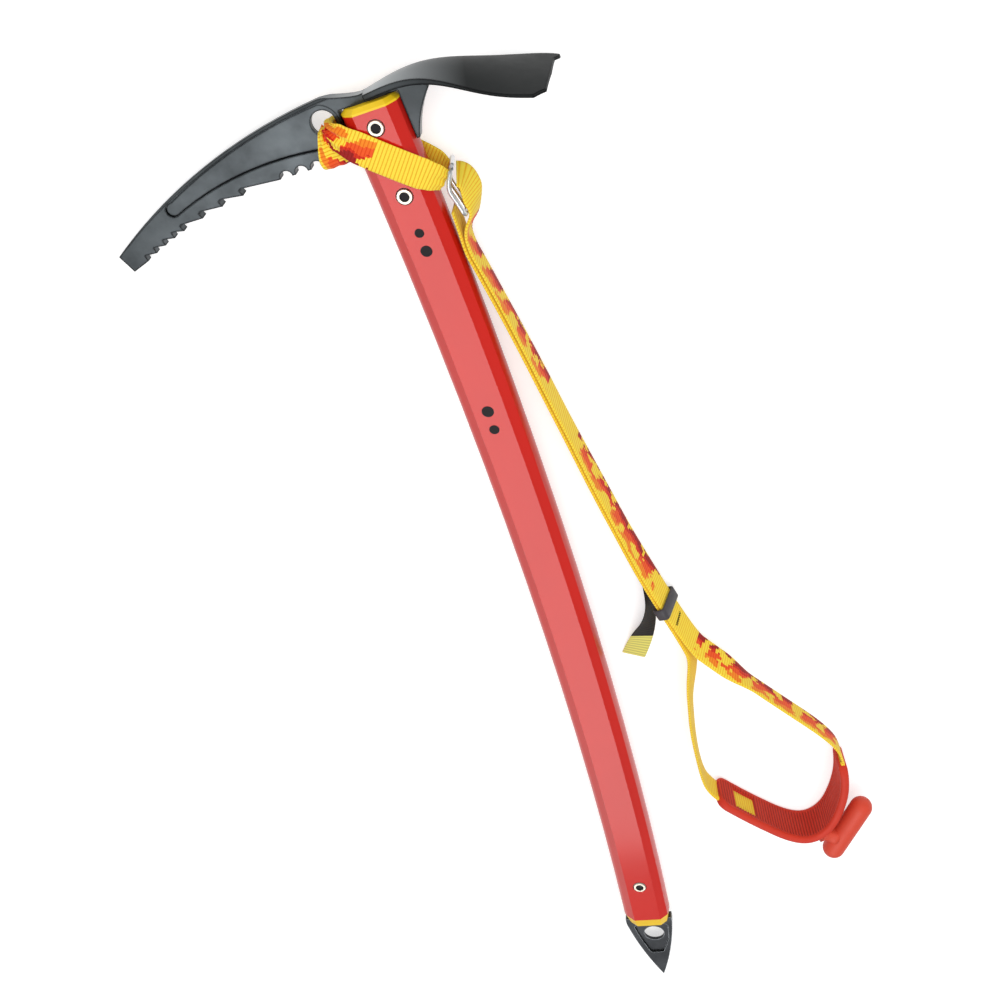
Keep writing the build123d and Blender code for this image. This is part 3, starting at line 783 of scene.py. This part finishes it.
@dataclass
class Axe:
    """Head, tube, plugs, rivets and spike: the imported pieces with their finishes."""

    nodes: dict[str, bpy.types.Object]
    # The head's near-black edge colour is painted shade, and its adze carries painted light and shade; the
    # spike's pale edges are wear.
    head: ForgedSteel = ForgedSteel("forged_steel", "5c6164", "0b0c0d", adze_light_and_shade=1.0)
    spike: ForgedSteel = ForgedSteel("spike_steel", "45474a", "8e9296", edge_mm=0.7)
    tube: AnodisedTube = AnodisedTube()
    plug: Moulded = Moulded("yellow_nylon", "fbd322", "f3c51a", roughness=0.4)
    collar: Moulded = Moulded("collar_nylon", "fbce1c", "f3bd16", roughness=0.4)
    # Aft and lengthwise place, diameter and height above the middle of each round spot of black ink, and of the
    # disc of painted shade that shows round each rivet's ring and in its bore.
    dots: tuple[tuple[float, float, float, float], ...] = (
        (0.2, -65.7, 5.0, 11.04), (-0.1, -75.9, 6.2, 11.04),
        (-3.9, -173.3, 6.8, 11.04), (-4.5, -185.0, 5.7, 11.04),
        # These three discs are painted shade in the rivets, not ink.
        (0.89, -8.6, 9.1, 11.03), (0.64, -45.3, 9.1, 11.03), (-38.5, -552.8, 9.1, 11.03),
    )
    dot_sides: int = 40
    ink_and_shade: Moulded = Moulded("black_ink_and_painted_shade", "1f1d1f", "252325", roughness=0.7, depth=0.05)
    rivet: BrightMetal = BrightMetal("rivet_plating", "cdc7b8", 0.34)

    def dress(self) -> None:
        """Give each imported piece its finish; all three rivets share theirs."""
        plating = self.rivet.make()
        for name, material in (
            ("head", self.head.make()), ("shaft", self.tube.make()), ("head_plug", self.plug.make()),
            ("head_rivets", plating), ("spike", self.spike.make()), ("spike_collar", self.collar.make()),
            ("spike_rivet", plating),
        ):
            dress(self.nodes[name], material)
            log.info("dressed %s", name)
        self.lay_ink_and_shade_dots()

    def lay_ink_and_shade_dots(self) -> None:
        """Lay the round spots of ink on the tube's flat, and the discs of painted shade in the rivets."""
        places: list[Vector] = []
        faces: list[list[int]] = []
        for aft, up, across, out in self.dots:
            radius = across / 2
            faces.append(list(range(len(places), len(places) + self.dot_sides)))
            for k in range(self.dot_sides):
                turn = 2 * math.pi * k / self.dot_sides
                places.append(axe_point(aft + radius * math.cos(turn), up + radius * math.sin(turn), out))
        dots = new_piece("ink_and_painted_shade_dots", places, faces)
        dress(dots, self.ink_and_shade.make())


@dataclass
class AnchorLoop:
    """Webbing through the head's hole and round the shaft to the buckle, with a turn round the bridge."""

    webbing: Webbing = Webbing(thickness=1.5, points_across=22)
    turn_degrees: float = -42.3
    hole_aft: float = -26.0
    hole_up: float = -2.7
    # Distance along the loop to the hole, which draws the webbing together in pleats.
    hole_reach: float = 66.0
    # Loop's control points: millimetres from the hole toward the buckle, across, and out.
    route: tuple[tuple[float, float, float], ...] = (
        (64.0, 0.6, 6.0), (57.0, 2.0, 12.6), (40.0, 1.2, 12.4), (13.0, 1.2, 12.6), (0.6, 0.6, 6.0),
        (0.4, 0.4, -6.0), (13.0, 0.0, -13.0), (57.4, 0.0, -14.2), (64.2, 0.0, -5.4),
    )
    turn_route: tuple[tuple[float, float, float], ...] = (
        (-26.8, -3.2, -1.0), (-27.0, -3.8, 5.6), (-27.4, -12.0, 6.0), (-27.2, -22.6, 5.2),
        (-27.2, -22.6, -5.2), (-27.4, -12.0, -6.4), (-27.4, -5.0, -6.0),
    )

    def loop_point(self, along: float, across: float, out: float) -> Vector:
        """Place of a point given along and across the loop.

        Args:
            along: millimetres from the hole toward the buckle.
            across: millimetres to the side of that.
            out: millimetres across the axe's thickness.

        Returns:
            The place, in metres.
        """
        turn = math.radians(self.turn_degrees)
        aft = self.hole_aft + along * math.cos(turn) - across * math.sin(turn)
        up = self.hole_up + along * math.sin(turn) + across * math.cos(turn)
        return axe_point(aft, up, out)

    def build(self) -> None:
        turn = math.radians(self.turn_degrees)
        wide = (AXE_UP * math.cos(turn) - AXE_AFT * math.sin(turn)).normalized()
        line = Line("anchor_line", [self.loop_point(*point) for point in self.route])
        whole, hole = line.length / MM, self.hole_reach
        loop = self.webbing.lay(
            "anchor_loop", line, lambda mark, heading: wide,
            halves=((0, 5.8), (8, 7.6), (14, 8.4), (hole - 20, 8.4), (hole - 8, 7.0), (hole, 4.4),
                    (hole + 8, 4.4), (hole + 24, 7.5), (whole - 10, 7.5), (whole, 5.8)),
            folds=((0, 0.5), (10, 0.0), (hole - 20, 0.0), (hole - 7, 1.0), (hole, 1.5), (hole + 8, 1.5),
                   (hole + 26, 0.0)),
        )
        dress(loop, WovenNylon("anchor_webbing", Weave.FLAMES, runs=((20.5, 36.0),), cover=0.25).make())
        bridge = Line("bridge_line", [axe_point(*point) for point in self.turn_route])
        turned = self.webbing.lay(
            "anchor_turn", bridge, lambda mark, heading: -AXE_AFT,
            halves=((0, 2.8), (5, 3.4), (20, 7.6), (34, 7.6), (bridge.length / MM, 3.6)),
            folds=((0, 1.2), (8, 0.9), (18, 0.2), (30, 0.2), (bridge.length / MM, 1.0)),
        )
        dress(turned, WovenNylon("turn_webbing", Weave.FLAMES).make())
        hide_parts("leash_anchor_loop")
        log.info("anchor loop %.1f mm long", whole)


@dataclass
class LeashStraps:
    """Two layers of webbing from the buckle, parting past the keeper to the two ends of the wrist pad."""

    webbing: Webbing = Webbing(rib_depth=0.14)
    layer_gap: float = 0.5
    # Painted shade in the furrows between the ribs.
    furrow_shade: str = "f2c02a"
    lean: float = 24.0
    # Bar tack: its middle, how far its stitches reach from the strap's middle line, how far each one goes to
    # and fro along the strap, how far the bar leans per millimetre and how high the thread lies.
    tack_place: tuple[float, float, float] = (47.4, -354.0, 14.0)
    tack_from: float = -4.5
    tack_length: float = 10.0
    stitches: int = 14
    stitch_reach: float = 0.9
    tack_slant: float = 0.12
    tack_lift: float = 0.05
    thread: float = 0.2
    thread_sides: int = 6
    buckle_fold: tuple[tuple[float, float, float], ...] = (
        (26.6, -46.0, 27.0), (29.4, -46.8, 27.0), (30.2, -55.4, 25.0), (28.2, -66.8, 22.5),
        (19.4, -75.0, 21.0), (18.4, -86.0, 20.5),
    )
    inner_start: tuple[tuple[float, float, float], ...] = (
        (20.4, -62.0, 22.5), (19.4, -75.0, 21.0), (18.4, -86.0, 20.5),
    )
    shared: tuple[tuple[float, float, float], ...] = (
        (19.8, -97.2, 19.4), (24.6, -151.2, 14.0), (29.4, -207.2, 14.0), (34.6, -261.2, 14.0),
        (40.5, -313.2, 14.0), (51.3, -374.2, 14.0),
    )
    outer_strand: tuple[tuple[float, float, float], ...] = (
        (58.2, -386.9, 14.0), (73.6, -413.4, 14.0), (90.6, -441.4, 14.0), (106.4, -466.9, 14.0),
        (113.4, -481.9, 14.0), (114.8, -491.0, 14.0), (114.2, -503.0, 14.0),
    )
    inner_strand: tuple[tuple[float, float, float], ...] = (
        (50.6, -384.0, 14.0), (46.4, -396.0, 14.0), (39.6, -415.0, 14.0), (34.8, -434.0, 14.0),
        (31.0, -456.0, 14.0), (28.6, -478.0, 14.0), (30.0, -490.0, 14.0), (36.2, -501.6, 14.0),
    )

    def strap(
        self, name: str, points: Sequence[tuple[float, float, float]], side: int, leans: LeanTable,
        finish: WovenNylon, replaced: str,
    ) -> Line:
        """Args:
            name: the piece's name.
            points: its control points, in millimetres on the floor plan.
            side: -1 for the layer away from the shaft, 1 for the one next to it.
            leans: its lean by distance along it.
            finish: its weave.
            replaced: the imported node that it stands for.

        Returns:
            The line that it follows.
        """
        line = Line(name + "_line", floor_points(points))
        aside = side * (self.webbing.thickness + self.layer_gap) / 2
        strap = self.webbing.lay(name, line, leaning(leans), aside=aside)
        dress(strap, finish.make())
        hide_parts(replaced)
        log.info("%s %.1f mm long", name, line.length / MM)
        return line

    def bar_tack(self, line: Line) -> None:
        """Sew a short bar of dark stitches across the outer strap's face, just past the keeper.

        Args:
            line: the line that the strap follows.
        """
        middle = line.nearest(floor_points([self.tack_place])[0])
        place, heading = line.at(middle)
        wide = leaning([(0, self.lean)])(middle, heading)
        right = heading.cross(wide)
        face = -(self.webbing.thickness + self.layer_gap) / 2 - self.webbing.thickness / 2 - self.tack_lift
        places: list[Vector] = []
        for k in range(self.stitches + 1):
            over = self.tack_from + self.tack_length * k / self.stitches
            forward = (self.stitch_reach if k % 2 else -self.stitch_reach) + self.tack_slant * over
            centre = place + (wide * over + heading * forward + right * face) * MM
            for side in range(self.thread_sides):
                turn = 2 * math.pi * side / self.thread_sides
                places.append(centre + (wide * math.cos(turn) + right * math.sin(turn)) * self.thread * MM)
        tack = new_piece("bar_tack", places, ring_faces(self.stitches + 1, self.thread_sides))
        stitching = Moulded("bonded_thread", "2a2016", "3a2c1c", roughness=0.7, grain_mm=0.4, depth=0.2)
        dress(tack, stitching.make())

    def build(self) -> None:
        """Lay both layers, which stand up at the buckle and the pad and lean over at the keeper."""
        outer = self.strap(
            "strap_outer", self.buckle_fold + self.shared + self.outer_strand, -1,
            ((0, 26), (12, 32), (23, 14), (38, 8), (70, 8), (150, 12), (230, 18), (285, self.lean),
             (360, self.lean), (388, 0)),
            WovenNylon("strap_outer_webbing", Weave.FLAMES, furrow_shade=self.furrow_shade,
                           runs=((13, 72), (92, 150), (177, 248))),
            "leash_strap_outer",
        )
        self.bar_tack(outer)
        self.strap(
            "strap_inner", self.inner_start + self.shared + self.inner_strand, 1,
            ((0, 8), (51, 8), (131, 12), (211, 18), (266, self.lean), (338, self.lean), (368, 12), (412, 4)),
            WovenNylon("strap_inner_webbing", furrow_shade=self.furrow_shade), "leash_strap_inner",
        )


@dataclass
class WristPad:
    """Rubber sleeve round the webbing's turn, grooved inside, with a window that shows the webbing."""

    height: float = 28.0
    thickness: float = 5.6
    rim: float = 2.4
    corner: float = 8.0
    groove_pitch: float = 2.2
    groove_depth: float = 0.95
    steps_per_groove: int = 4
    window_place: tuple[float, float, float] = (45.2, -514.0, 14.0)
    window_length: float = 18.0
    window_height: float = 17.6
    window_floor: float = 0.45
    # Half the width over which the window's edge rises, and half the height of the sleeve's flat.
    window_edge: float = 0.02
    flat: float = 10.2
    # The grooves end this far from the middle, after fading out over this width.
    groove_end: float = 12.0
    groove_fade: float = 1.6
    route: tuple[tuple[float, float, float], ...] = (
        (114.6, -495.3, 14.0), (113.0, -510.4, 14.0), (104.6, -529.4, 14.0), (93.8, -544.2, 14.0),
        (80.0, -549.5, 14.0), (67.4, -542.5, 14.0), (52.6, -524.4, 14.0), (40.2, -507.5, 14.0),
        (32.4, -495.7, 14.0),
    )
    webbing: Webbing = Webbing()

    def section(self) -> list[tuple[float, float]]:
        """Half outline of the sleeve from its lower rim to its upper one.

        Returns:
            Pairs of height from the middle and half thickness.
        """
        straight = self.height / 2 - self.rim
        slack = self.thickness / 2 - self.rim
        lower = [
            (-straight - self.rim * math.cos(math.radians(a)), slack + self.rim * math.sin(math.radians(a)))
            for a in (0, 22, 45, 67, 90)
        ]
        inside = self.window_height / 2 - self.window_edge
        outside = self.window_height / 2 + self.window_edge
        levels = (-self.flat, -outside, -inside, -3.5, 0.0, 3.5, inside, outside, self.flat)
        upper = [(-v, t) for v, t in reversed(lower)]
        return lower + [(v, self.thickness / 2) for v in levels] + upper

    def marks(self, line: Line) -> list[float]:
        """Where along the sleeve it has a ring of points.

        Args:
            line: the line it follows.

        Returns:
            Distances in millimetres, in rising order.
        """
        whole = line.length / MM
        middle = line.nearest(floor_points([self.window_place])[0]) / MM
        low, high = middle - self.window_length / 2, middle + self.window_length / 2
        count = round(whole / self.groove_pitch * self.steps_per_groove)
        marks = [whole * k / count for k in range(count + 1)]
        marks += [end + side for end in (low, high) for side in (-self.window_edge, self.window_edge)]
        return sorted(marks)

    def sleeve(self, line: Line) -> bpy.types.Object:
        """Make the sleeve's mesh.

        Args:
            line: the line it follows.

        Returns:
            The sleeve.
        """
        whole = line.length / MM
        middle = line.nearest(floor_points([self.window_place])[0]) / MM
        half_outline = self.section()
        ring = [(v, -t) for v, t in half_outline] + [(v, t) for v, t in reversed(half_outline)]
        places: list[Vector] = []
        depths: list[float] = []
        marks = self.marks(line)
        for mark in marks:
            place, heading = line.at(mark * MM)
            right = heading.cross(UPRIGHT).normalized()
            to_end = min(mark, whole - mark)
            low = self.corner - min(to_end, self.corner)
            drop = self.corner - math.sqrt(max(self.corner**2 - low**2, 0.0))
            thin = 0.72 + 0.28 * min(to_end / 2.0, 1.0)
            share = (self.height / 2 - drop) / (self.height / 2)
            phase = (mark / self.groove_pitch) % 1.0
            cut = self.groove_depth * max(0.0, 1 - abs(phase - 0.5) / 0.4)
            for v, t in ring:
                inner = t > 0
                fade = min(1.0, max(0.0, (self.groove_end - abs(v)) / self.groove_fade))
                offset = t * thin - (cut * fade if inner else 0.0)
                in_window = (
                    inner and abs(mark - middle) < self.window_length / 2 and abs(v) < self.window_height / 2
                )
                offset = self.window_floor if in_window else offset
                places.append(place + (UPRIGHT * v * share + right * offset) * MM)
                # The groove's depth goes into the texture places, where the finish turns it into painted shade.
                depths.append(cut * fade / self.groove_depth if inner and not in_window else 0.0)
        faces = ring_faces(len(marks), len(ring))
        uvs = [[(depths[corner], 0.0) for corner in face] for face in faces]
        return new_piece("pad_sleeve", places, faces, uvs)

    def build(self) -> None:
        """Make the sleeve and the webbing inside it."""
        line = Line("pad_line", floor_points(self.route))
        sleeve = self.sleeve(line)
        # The grooves inside the sleeve are darkened toward their bottom with painted shade.
        rubber = Moulded("pad_rubber", "d33a26", "c63020", roughness=0.6, grain_mm=0.8, depth=0.2,
                         groove="6e160e")
        dress(sleeve, rubber.make())
        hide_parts("wrist_pad")
        core = self.webbing.lay("pad_core", line, leaning([(0, 0.0)]))
        dress(core, WovenNylon("pad_core_webbing").make())
        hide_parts("pad_webbing")
        log.info("wrist pad %.1f mm long", line.length / MM)


@dataclass
class GripBar:
    """Round-ended rubber bar on a neck from the pad's outer face."""

    radius: float = 7.3
    height: float = 20.0
    ends: tuple[tuple[float, float], tuple[float, float]] = ((117.3, -537.7), (92.2, -566.5))
    neck_place: float = 0.72
    neck_width: float = 9.0
    neck_height: float = 11.0
    # The neck's rings: reach from the bar's axis, and how much wider than the neck each one is. Its outline
    # is squarer the lower the power.
    neck_rings: tuple[tuple[float, float], ...] = (
        (3.0, 1.35), (6.0, 1.12), (8.0, 1.0), (10.5, 1.0), (12.2, 1.12), (13.5, 1.45),
    )
    neck_power: float = 0.6
    neck_sides: int = 24
    sides: int = 40
    dome_rings: int = 10

    def build(self) -> None:
        """Make the bar and its neck as one piece."""
        free_end, root_end = floor_points([(x, y, self.height) for x, y in self.ends])
        along = (root_end - free_end).normalized()
        sideways = along.cross(UPRIGHT).normalized()
        span = (root_end - free_end).length / MM
        profile = [
            (-self.radius * math.cos(a), self.radius * math.sin(a))
            for a in [math.pi / 2 * k / self.dome_rings for k in range(self.dome_rings + 1)]
        ]
        profile += [(span * k / 6, self.radius) for k in range(1, 6)]
        profile += [(span - s, r) for s, r in reversed(profile[: self.dome_rings + 1])]
        places = []
        for s, r in profile:
            for k in range(self.sides):
                turn = 2 * math.pi * k / self.sides
                spoke = sideways * math.cos(turn) + UPRIGHT * math.sin(turn)
                places.append(free_end + (along * s + spoke * max(r, 0.01)) * MM)
        faces = ring_faces(len(profile), self.sides)
        start = len(places)
        foot = free_end + along * span * self.neck_place * MM
        for reach, swell in self.neck_rings:
            for k in range(self.neck_sides):
                turn = 2 * math.pi * k / self.neck_sides
                c, s = math.cos(turn), math.sin(turn)
                wide = math.copysign(abs(c) ** self.neck_power, c) * self.neck_width / 2 * swell
                tall = math.copysign(abs(s) ** self.neck_power, s) * self.neck_height / 2 * min(swell, 1.2)
                places.append(foot + (sideways * reach + along * wide + UPRIGHT * tall) * MM)
        faces += ring_faces(len(self.neck_rings), self.neck_sides, start)
        bar = new_piece("grip", places, faces)
        rubber = Moulded("grip_rubber", "da4c36", "da442e", roughness=0.5, grain_mm=0.8, depth=0.2)
        dress(bar, rubber.make())
        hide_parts("grip_bar")
        log.info("grip bar %.1f mm between its ends' centres", span)


@dataclass
class Tag:
    """Strip of black cloth from behind the straps, turning over to lie on the floor, its end pale."""

    width: float = 15.0
    thickness: float = 0.6
    route: tuple[tuple[float, float, float], ...] = (
        (40.0, -317.9, 9.5), (38.2, -332.9, 9.5), (33.2, -347.9, 8.4),
        (25.6, -364.0, 3.2), (13.4, -380.6, 0.9),
    )
    lean: float = 24.0
    # Share of its length after which it turns over, and its width direction where it lies on the floor.
    turns_from: float = 0.25
    flat_across: tuple[float, float, float] = (-0.75, 0.66, 0.02)
    pale_ribs: float = 17.0

    def build(self) -> None:
        """Lay the strip."""
        line = Line("tag_line", floor_points(self.route))
        whole = line.length / MM
        standing = leaning([(0, self.lean)])
        flat = Vector(self.flat_across).normalized()

        def across(mark: float, heading: Vector) -> Vector:
            """Width direction, which turns from standing to lying."""
            share = between(((0, 0.0), (whole * self.turns_from, 0.0), (whole, 1.0)), mark / MM)
            return standing(mark, heading).lerp(flat, share).normalized()

        weave = Webbing(self.width, self.thickness, rib_pitch=1.0, rib_depth=0.05, steps_per_rib=3)
        tag = weave.lay("tag", line, across)
        dress(tag, TagCloth(whole / weave.rib_pitch - self.pale_ribs).make())
        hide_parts("leash_tag")
        log.info("tag %.1f mm long", whole)


@dataclass
class Buckle:
    """Slide bent from nickel-plated rod and standing on edge: three rails between two rounded ends."""

    height: float = 22.0
    middle: float = 24.5
    # Radius of the rod, and of the bends at the slide's four corners.
    rail: float = 1.25
    corner: float = 3.0
    sides: int = 12
    steps: int = 24
    route: tuple[tuple[float, float], ...] = ((27.6, -38.4), (20.6, -47.2), (23.2, -57.0), (24.6, -66.0))
    finish: BrightMetal = BrightMetal("nickel_plated_steel", "dcdee0", 0.34)

    def tube(self, centres: Sequence[Vector], places: list[Vector], faces: list[list[int]]) -> None:
        """Add a round bar through some centres.

        Args:
            centres: its centres, in metres.
            places: the vertex places so far, added to.
            faces: the faces so far, added to.
        """
        start = len(places)
        for k, centre in enumerate(centres):
            heading = (centres[min(k + 1, len(centres) - 1)] - centres[max(k - 1, 0)]).normalized()
            side = heading.orthogonal().normalized()
            other = heading.cross(side)
            for i in range(self.sides):
                turn = 2 * math.pi * i / self.sides
                spoke = side * math.cos(turn) + other * math.sin(turn)
                places.append(centre + spoke * self.rail * MM)
        faces.extend(ring_faces(len(centres), self.sides, start))

    def build(self) -> None:
        """Make the slide."""
        line = Line("buckle_line", floor_points([(x, y, self.middle) for x, y in self.route]))
        reach = self.height / 2 - self.rail
        places: list[Vector] = []
        faces: list[list[int]] = []
        inset = self.rail * MM
        marks = [inset + (line.length - 2 * inset) * k / self.steps for k in range(self.steps + 1)]
        for rise in (-reach, 0.0, reach):
            centres = []
            for mark in marks:
                end = min(mark - inset, line.length - inset - mark) / MM
                short = self.corner - min(max(end, 0.0), self.corner)
                dip = self.corner - math.sqrt(max(self.corner**2 - short**2, 0.0))
                lift = rise - math.copysign(dip, rise) if rise else 0.0
                centres.append(line.at(mark)[0] + Vector((0, 0, lift)) * MM)
            self.tube(centres, places, faces)
        for mark in (marks[0], marks[-1]):
            foot = line.at(mark)[0]
            half = reach - self.corner
            self.tube([foot + Vector((0, 0, half * k / 4)) * MM for k in range(-4, 5)], places, faces)
        slide = new_piece("buckle", places, faces)
        dress(slide, self.finish.make())
        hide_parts("leash_buckle")
        log.info("buckle %.1f mm long", line.length / MM)


@dataclass
class Keeper:
    """Moulded ring round both layers of webbing, which slides to tighten the loop."""

    length: float = 8.0
    wall: float = 1.7
    gap: float = 0.45
    webbing: Webbing = Webbing()
    layer_gap: float = 0.5
    start: tuple[float, float, float] = (40.5, -313.2, 14.0)
    toward: tuple[float, float, float] = (51.3, -374.2, 14.0)
    place: float = 28.0
    lean: float = 24.0
    # Radius and steps of its four corners, the bevel along its edges, and the angle from which an edge is
    # shaded sharp.
    corner: float = 1.6
    corner_steps: int = 6
    edge: float = 0.6
    sharp_degrees: float = 50.0
    finish: Moulded = Moulded("keeper_nylon", "474449", "3a383c", roughness=0.5)

    def build(self) -> None:
        """Make the ring."""
        first, last = floor_points([self.start, self.toward])
        heading = (last - first).normalized()
        centre = first + heading * self.place * MM
        wide = leaning([(0, self.lean)])(0.0, heading)
        right = heading.cross(wide)
        tall = self.webbing.width / 2 + self.gap + self.wall / 2
        deep = self.webbing.thickness + self.layer_gap / 2 + self.gap + self.wall / 2
        loop: list[tuple[float, float, float, float]] = []
        for quarter, (a, b) in enumerate(((1, 1), (-1, 1), (-1, -1), (1, -1))):
            for k in range(self.corner_steps + 1):
                turn = math.pi / 2 * (quarter + k / self.corner_steps)
                c, s = math.cos(turn), math.sin(turn)
                x = a * (tall - self.corner) + c * self.corner
                y = b * (deep - self.corner) + s * self.corner
                loop.append((x, y, c, s))
        thick, long = self.wall / 2, self.length / 2
        inner, short = thick - self.edge, long - self.edge
        profile = (
            (thick, -short), (thick, short), (inner, long), (-inner, long),
            (-thick, short), (-thick, -short), (-inner, -long), (inner, -long),
        )
        places = [
            centre + (wide * (x + c * swell) + right * (y + s * swell) + heading * run) * MM
            for x, y, c, s in loop
            for swell, run in profile
        ]
        ring = new_piece("keeper", places, ring_faces(len(loop), len(profile), closed=True), body="keeper")
        ring.data.set_sharp_from_angle(angle=math.radians(self.sharp_degrees))
        dress(ring, self.finish.make())
        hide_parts("keeper_ring")
        log.info("keeper %.1f mm long", self.length)


@dataclass
class Studio:
    """Pale floor, soft lamps and the camera."""

    # Metres, and degrees about X, Y and Z.
    camera_place: tuple[float, float, float] = (0.16313, 0.48940, 0.72514)
    camera_turn: tuple[float, float, float] = (-31.3893, -0.0495, -20.5733)
    focal_mm: float = 52.2
    sensor_mm: float = 36.0
    half_floor: float = 6.0
    # How much the floor glows by itself, and how bright the surroundings are to all but the camera.
    floor_glow: float = 0.5
    surround: float = 0.55

    def floor(self) -> None:
        """Lay the floor, white to the camera and shaded where the axe covers it."""
        half = self.half_floor
        mesh = bpy.data.meshes.new("floor")
        corners = [(-half, -half, 0), (half, -half, 0), (half, half, 0), (-half, half, 0)]
        mesh.from_pydata(corners, [], [(0, 1, 2, 3)])
        floor = bpy.data.objects.new("floor", mesh)
        bpy.context.scene.collection.objects.link(floor)
        material = bpy.data.materials.new("pale_paper")
        material.use_nodes = True
        tree = material.node_tree
        tree.nodes.clear()
        rays = node(tree, "ShaderNodeLightPath")
        shown = node(tree, "ShaderNodeMath", {"operation": "MAXIMUM"}, i0=rays.outputs["Is Camera Ray"],
                     i1=rays.outputs["Is Glossy Ray"])
        shown = node(tree, "ShaderNodeMath", {"operation": "MAXIMUM"}, i0=shown.outputs[0],
                     i1=rays.outputs["Is Transmission Ray"])
        lift = node(tree, "ShaderNodeMath", {"operation": "MULTIPLY"}, i0=shown.outputs[0],
                    i1=self.floor_glow)
        glow = node(tree, "ShaderNodeEmission", Color=(1, 1, 1, 1), Strength=lift.outputs[0])
        paper = node(tree, "ShaderNodeBsdfDiffuse", Color=(0.8, 0.8, 0.8, 1))
        both = node(tree, "ShaderNodeAddShader", i0=paper.outputs[0], i1=glow.outputs[0])
        node(tree, "ShaderNodeOutputMaterial", Surface=both.outputs[0])
        dress(floor, material)

    def surroundings(self) -> None:
        """Even pale light from all round, white where the camera sees it."""
        world = bpy.data.worlds.new("studio")
        bpy.context.scene.world = world
        world.use_nodes = True
        tree = world.node_tree
        tree.nodes.clear()
        rays = node(tree, "ShaderNodeLightPath")
        strength = node(tree, "ShaderNodeMapRange", Value=rays.outputs["Is Camera Ray"], To_Min=self.surround,
                        To_Max=1.0)
        sky = node(tree, "ShaderNodeBackground", Color=(1, 1, 1, 1), Strength=strength.outputs["Result"])
        node(tree, "ShaderNodeOutputWorld", Surface=sky.outputs[0])

    @staticmethod
    def lamp(name: str, place: Vector, aim: Vector, size: tuple[float, float], power: float) -> bpy.types.Object:
        """Hang one rectangular soft box.

        Args:
            name: the lamp's name.
            place: its centre, in metres.
            aim: the point it faces.
            size: its width and height, in metres.
            power: its power in watts.

        Returns:
            The lamp.
        """
        light = bpy.data.lights.new(name, "AREA")
        light.shape = "RECTANGLE"
        light.size, light.size_y = size
        light.energy = power
        lamp = bpy.data.objects.new(name, light)
        lamp.location = place
        lamp.rotation_euler = (aim - place).to_track_quat("-Z", "Y").to_euler()
        bpy.context.scene.collection.objects.link(lamp)
        return lamp

    def lamps(self) -> None:
        """Hang the soft boxes: a long one that only mirrors, and a broad one that only lights."""
        key = self.lamp("key", Vector((-0.7, -0.92, 1.5)), Vector((-0.7, -0.92, 0)), (0.62, 1.82), 17.0)
        key.visible_diffuse = False
        fill = self.lamp("fill", Vector((0.3, 0.5, 2.0)), Vector((0, 0, 0)), (2.0, 2.0), 27.0)
        fill.visible_glossy = False

    def camera(self) -> None:
        """Set up the camera."""
        data = bpy.data.cameras.new("camera")
        data.lens = self.focal_mm
        data.sensor_width = self.sensor_mm
        camera = bpy.data.objects.new("camera", data)
        camera.location = self.camera_place
        camera.rotation_mode = "XYZ"
        camera.rotation_euler = [math.radians(a) for a in self.camera_turn]
        bpy.context.scene.collection.objects.link(camera)
        bpy.context.scene.camera = camera

    def build(self) -> None:
        """Set up floor, light and camera."""
        self.floor()
        self.surroundings()
        self.lamps()
        self.camera()
        bpy.context.scene.view_settings.view_transform = "Standard"


def main() -> None:
    """Build the axe's looks in order."""
    logging.basicConfig(level=logging.INFO, format="%(name)s: %(message)s")
    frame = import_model()
    nodes = frame["nodes"]
    LeashStraps().build()
    AnchorLoop().build()
    WristPad().build()
    GripBar().build()
    Tag().build()
    Buckle().build()
    Keeper().build()
    Axe(nodes).dress()
    Studio().build()


if __name__ == "__main__":
    main()
